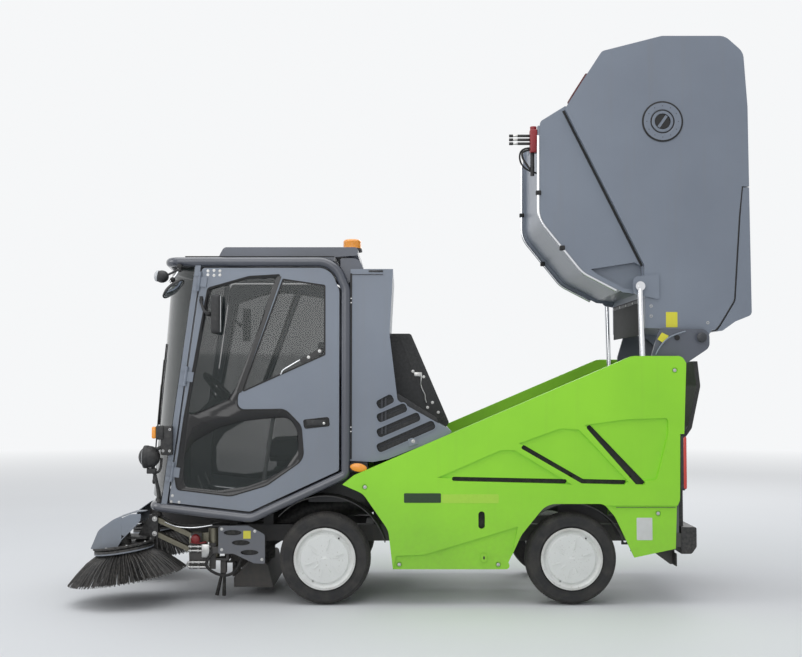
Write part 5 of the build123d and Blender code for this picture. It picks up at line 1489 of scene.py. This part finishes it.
# Bolts at the pivots of the two links, and the trim of the brush head
links = {
    "face": 0.454, "armPivots": ((1.29, 0.38), (1.29, 0.292)), "headPivots": ((1.52, 0.487), (1.52, 0.399))
}
linkBolts = boltsAt(links["face"], links["armPivots"], 0.01, 0.008)
piecePair("armBolts", ("swing_left", "swing_right"), "rod_steel", *linkBolts)
headBolts = boltsAt(links["face"], links["headPivots"], 0.01, 0.008)
upwards = deck.to_3x3() @ Vector((0, 0, 1))
for turn in range(8):
    spot = deck @ Vector(
        (math.cos(turn * math.pi / 4 + 0.35) * 0.16, math.sin(turn * math.pi / 4 + 0.35) * 0.16, 0.026)
    )
    headBolts.append(bolt("fittingSteel", spot, upwards, 0.0072, 0.006))
deckRim = turned(
    "blackPlastic",
    [
        (0.1705, -0.002), (0.1775, 0.0), (0.1795, 0.004), (0.1795, 0.011), (0.176, 0.0135), (0.1735, 0.011),
        (0.1735, 0.002)
    ],
    (0, 0, 0.016), steps=72
)
deckRim.data.transform(deck)
guardSkin = plate(
    "guardPaint",
    [
        (1.7, 0.499, 0), (1.69, 0.42, 0), (1.664, 0.4, 0.03), (1.6, 0.462, 0.04), (1.568, 0.506, 0.01),
        (1.568, 0.534, 0), (1.63, 0.533, 0.06)
    ],
    0.6078, 0.6112, 0.0008
)
guardRim = pipe(
    "guardPaint",
    [
        (1.708, 0.6095, 0.334), (1.69, 0.6095, 0.372), (1.664, 0.6095, 0.401), (1.6, 0.6095, 0.463),
        (1.57, 0.6095, 0.5)
    ],
    0.0035, 3
)
motorHose = pipe(
    "softRubber", [(1.655, 0.47, 0.438), (1.63, 0.47, 0.47), (1.6, 0.468, 0.478), (1.575, 0.462, 0.462)],
    0.0075
)
motorTop = turned(
    "framePaint",
    [
        (0.0, 0.02), (0.02, 0.02), (0.024, 0.014), (0.04, 0.012), (0.044, 0.006), (0.044, -0.002),
        (0.0, -0.002)
    ],
    deck @ Vector((0, 0, 0.115)), upwards, 40
)
piecePair(
    "brushHeadTrim", ("head_left", "head_right"), "dark_grey_paint", deckRim, guardSkin, guardRim,
    motorHose, motorTop, *headBolts
)

# Hoses, legs and dark ribs under the cab
loop = pipe(
    "softRubber",
    [
        (1.15, 0.505, 0.3), (1.19, 0.512, 0.262), (1.204, 0.512, 0.215), (1.16, 0.508, 0.178),
        (1.11, 0.5, 0.158), (1.06, 0.49, 0.158), (1.015, 0.48, 0.196), (0.995, 0.47, 0.262),
        (1.0, 0.455, 0.33)
    ],
    0.0085
)
loopTop = pipe(
    "softRubber",
    [
        (1.45, 0.52, 0.5), (1.4, 0.545, 0.478), (1.33, 0.55, 0.462), (1.24, 0.55, 0.46),
        (1.18, 0.545, 0.466), (1.12, 0.52, 0.478)
    ],
    0.007
)
loopLow = pipe(
    "rodSteel",
    [
        (1.44, 0.535, 0.478), (1.39, 0.56, 0.458), (1.32, 0.565, 0.448), (1.23, 0.565, 0.45),
        (1.16, 0.55, 0.462)
    ],
    0.0045
)
clampPlate = box("framePaint", (1.09, 0.48, 0.29), (1.16, 0.52, 0.33), 0.003, 2)
legs = []
for foot, top in (
    ((1.152, 0.4, 0.024), (1.118, 0.4, 0.172)),
    ((1.106, 0.418, 0.024), (1.104, 0.418, 0.172)),
):
    legs.append(rod("softRubber", top, foot, 0.0085, 0.012, 20, 0.003))
legBar = box("framePaint", (1.092, 0.388, 0.16), (1.128, 0.428, 0.242), 0.003, 2)
ribsUnder = [
    rod("softRubber", (x, 0.44, z), (x + 0.012, 0.44, z), r, sides=20)
    for x, z, r in ((1.03, 0.215, 0.02), (1.015, 0.215, 0.017), (1.0, 0.215, 0.02))
]
chassisPair("underCabHoses", "black_plastic", loop, loopTop, loopLow, clampPlate, legBar, *legs, *ribsUnder)

# Nozzle plates: dark sheet behind the oval holes, a blank plate and bolts
nozzle = {"face": 0.566, "boltPlaces": ((1.1, 0.44), (1.1, 0.32), (0.862, 0.262), (0.905, 0.428))}
ovalBacks = plate(
    "softRubber",
    [
        (1.092, 0.4425, 0), (0.95, 0.4425, 0), (0.868, 0.4, 0), (0.868, 0.27, 0), (0.92, 0.27, 0),
        (1.03, 0.33, 0), (1.092, 0.335, 0)
    ],
    0.552, 0.556, 0.0005
)
square = oblong("blankYellow", (0.973, 0.43), (0.929, 0.384), 0.003, 0.5656, 0.5672, 0.0004)
plateBolts = boltsAt(nozzle["face"], nozzle["boltPlaces"], 0.006, 0.004)
chassisPair("nozzlePlateTrim", "dark_grey_paint", ovalBacks, square, *plateBolts)
print("under-cab parts done")


# Roof ribs and side seals, and the wiper on the windscreen
roofTrim = {"ribPlaces": (-0.32, -0.16, 0.0, 0.16, 0.32), "ribHalf": 0.014, "ribTop": 2.114, "sealY": 0.5605}
# the roof ribs take the darker tube paint, a painted shade
roofRibs = [
    box(
        "shadedTubePaint", (0.46, y - roofTrim["ribHalf"], 2.1075),
        (1.12, y + roofTrim["ribHalf"], roofTrim["ribTop"]), 0.003, 2
    )
    for y in roofTrim["ribPlaces"]
]
roofSeal = [
    box("softRubber", (0.44, y - 0.002, 2.048), (1.33, y + 0.002, 2.056), 0.001, 1)
    for y in (-roofTrim["sealY"], roofTrim["sealY"])
]
piece("roofTrim", "chassis", "dark_grey_paint", *roofRibs, *roofSeal)

# the windscreen's front face: its x at height z on the middle line, how it leans and how it curves
glassShape = {"x": 1.5881, "z": 0.7, "lean": 0.0684, "curve": 0.392, "curveRise": 0.154}


def onGlass(y, z, proud):
    # a point that stands proud of the windscreen, at a y and a z
    rise = z - glassShape["z"]
    bend = glassShape["curve"] + glassShape["curveRise"] * rise
    return (glassShape["x"] - glassShape["lean"] * rise - bend * y * y + proud, y, z)


wiperPlan = {"foot": (0.2, 0.69), "armEnd": (0.24, 1.29), "bladeFrom": (0.2, 1.04), "bladeTo": (0.29, 1.54)}
foot, armEnd = wiperPlan["foot"], wiperPlan["armEnd"]
arm = pipe(
    "blackPlastic",
    [
        onGlass(*foot, 0.011), onGlass(0.208, 0.81, 0.012), onGlass(0.224, 1.05, 0.012),
        onGlass(*armEnd, 0.011)
    ],
    0.0045
)
wiperFoot = turned(
    "blackPlastic", [(0.0, 0.016), (0.012, 0.015), (0.018, 0.01), (0.019, -0.003), (0.0, -0.003)],
    onGlass(*foot, 0.0), (1, 0, 0.07), 32
)
low, high = wiperPlan["bladeFrom"], wiperPlan["bladeTo"]
bladePath = [
    onGlass(low[0] + (high[0] - low[0]) * step / 6, low[1] + (high[1] - low[1]) * step / 6, 0.0045)
    for step in range(7)
]
blade = pipe("softRubber", bladePath, 0.0042)
bladeBack = pipe(
    "blackPlastic",
    [onGlass(0.2175, 1.137, 0.0095), onGlass(*armEnd, 0.0105), onGlass(0.2725, 1.443, 0.0095)], 0.0034
)
piece("wiper", "chassis", "black_plastic", arm, wiperFoot, blade, bladeBack)

# Rear: bumper reflectors, blank number plate and its lamp, cover latches and bolts, mud flaps
rear = {"coverFace": -1.628, "latchTilt": -12.1}
# the red lens finish glows faintly, a painted glow on these reflectors, which are no lamps
reflectors = [
    box("redLens", (-1.6935, y - 0.045, 0.405), (-1.6885, y + 0.045, 0.435), 0.003, 2)
    for y in (-0.5, 0.5)
]
face = rear["coverFace"]
numberPlate = box("blankYellow", (face - 0.0065, -0.155, 0.56), (face - 0.0025, 0.155, 0.68), 0.0015, 2)
plateFrame = box("blackPlastic", (face - 0.0045, -0.165, 0.55), (face + 0.001, 0.165, 0.69), 0.0015, 2)
plateLamp = box("blackPlastic", (face - 0.024, -0.06, 0.7), (face + 0.001, 0.06, 0.722), 0.005, 3)
coverLatches = [
    box("blackPlastic", (-0.011, y - 0.022, -0.045), (0.001, y + 0.022, 0.045), 0.005, 3)
    for y in (-0.4, 0.4)
]
for latch in coverLatches:
    tilted(latch, rear["latchTilt"], (-1.7203, 0, 1.19), (0, 0, 0))
coverBolts = [
    bolt("fittingSteel", (face, y, z), (-1, 0, 0), 0.007, 0.005)
    for y in (-0.48, 0.48)
    for z in (0.52, 0.9)
]
piece(
    "rearTrim", "chassis", "black_plastic", numberPlate, plateFrame, plateLamp, *reflectors, *coverLatches,
    *coverBolts
)
flapLeft = box("softRubber", (-1.576, 0.47, 0.226), (-1.568, 0.59, 0.3), 0.002, 2)
chassisPair("mudFlap", "black_plastic", flapLeft)
print("roof and rear done")


# Plain colours: the Standard view transform
bpy.context.scene.view_settings.view_transform = "Standard"
print("scene ready")
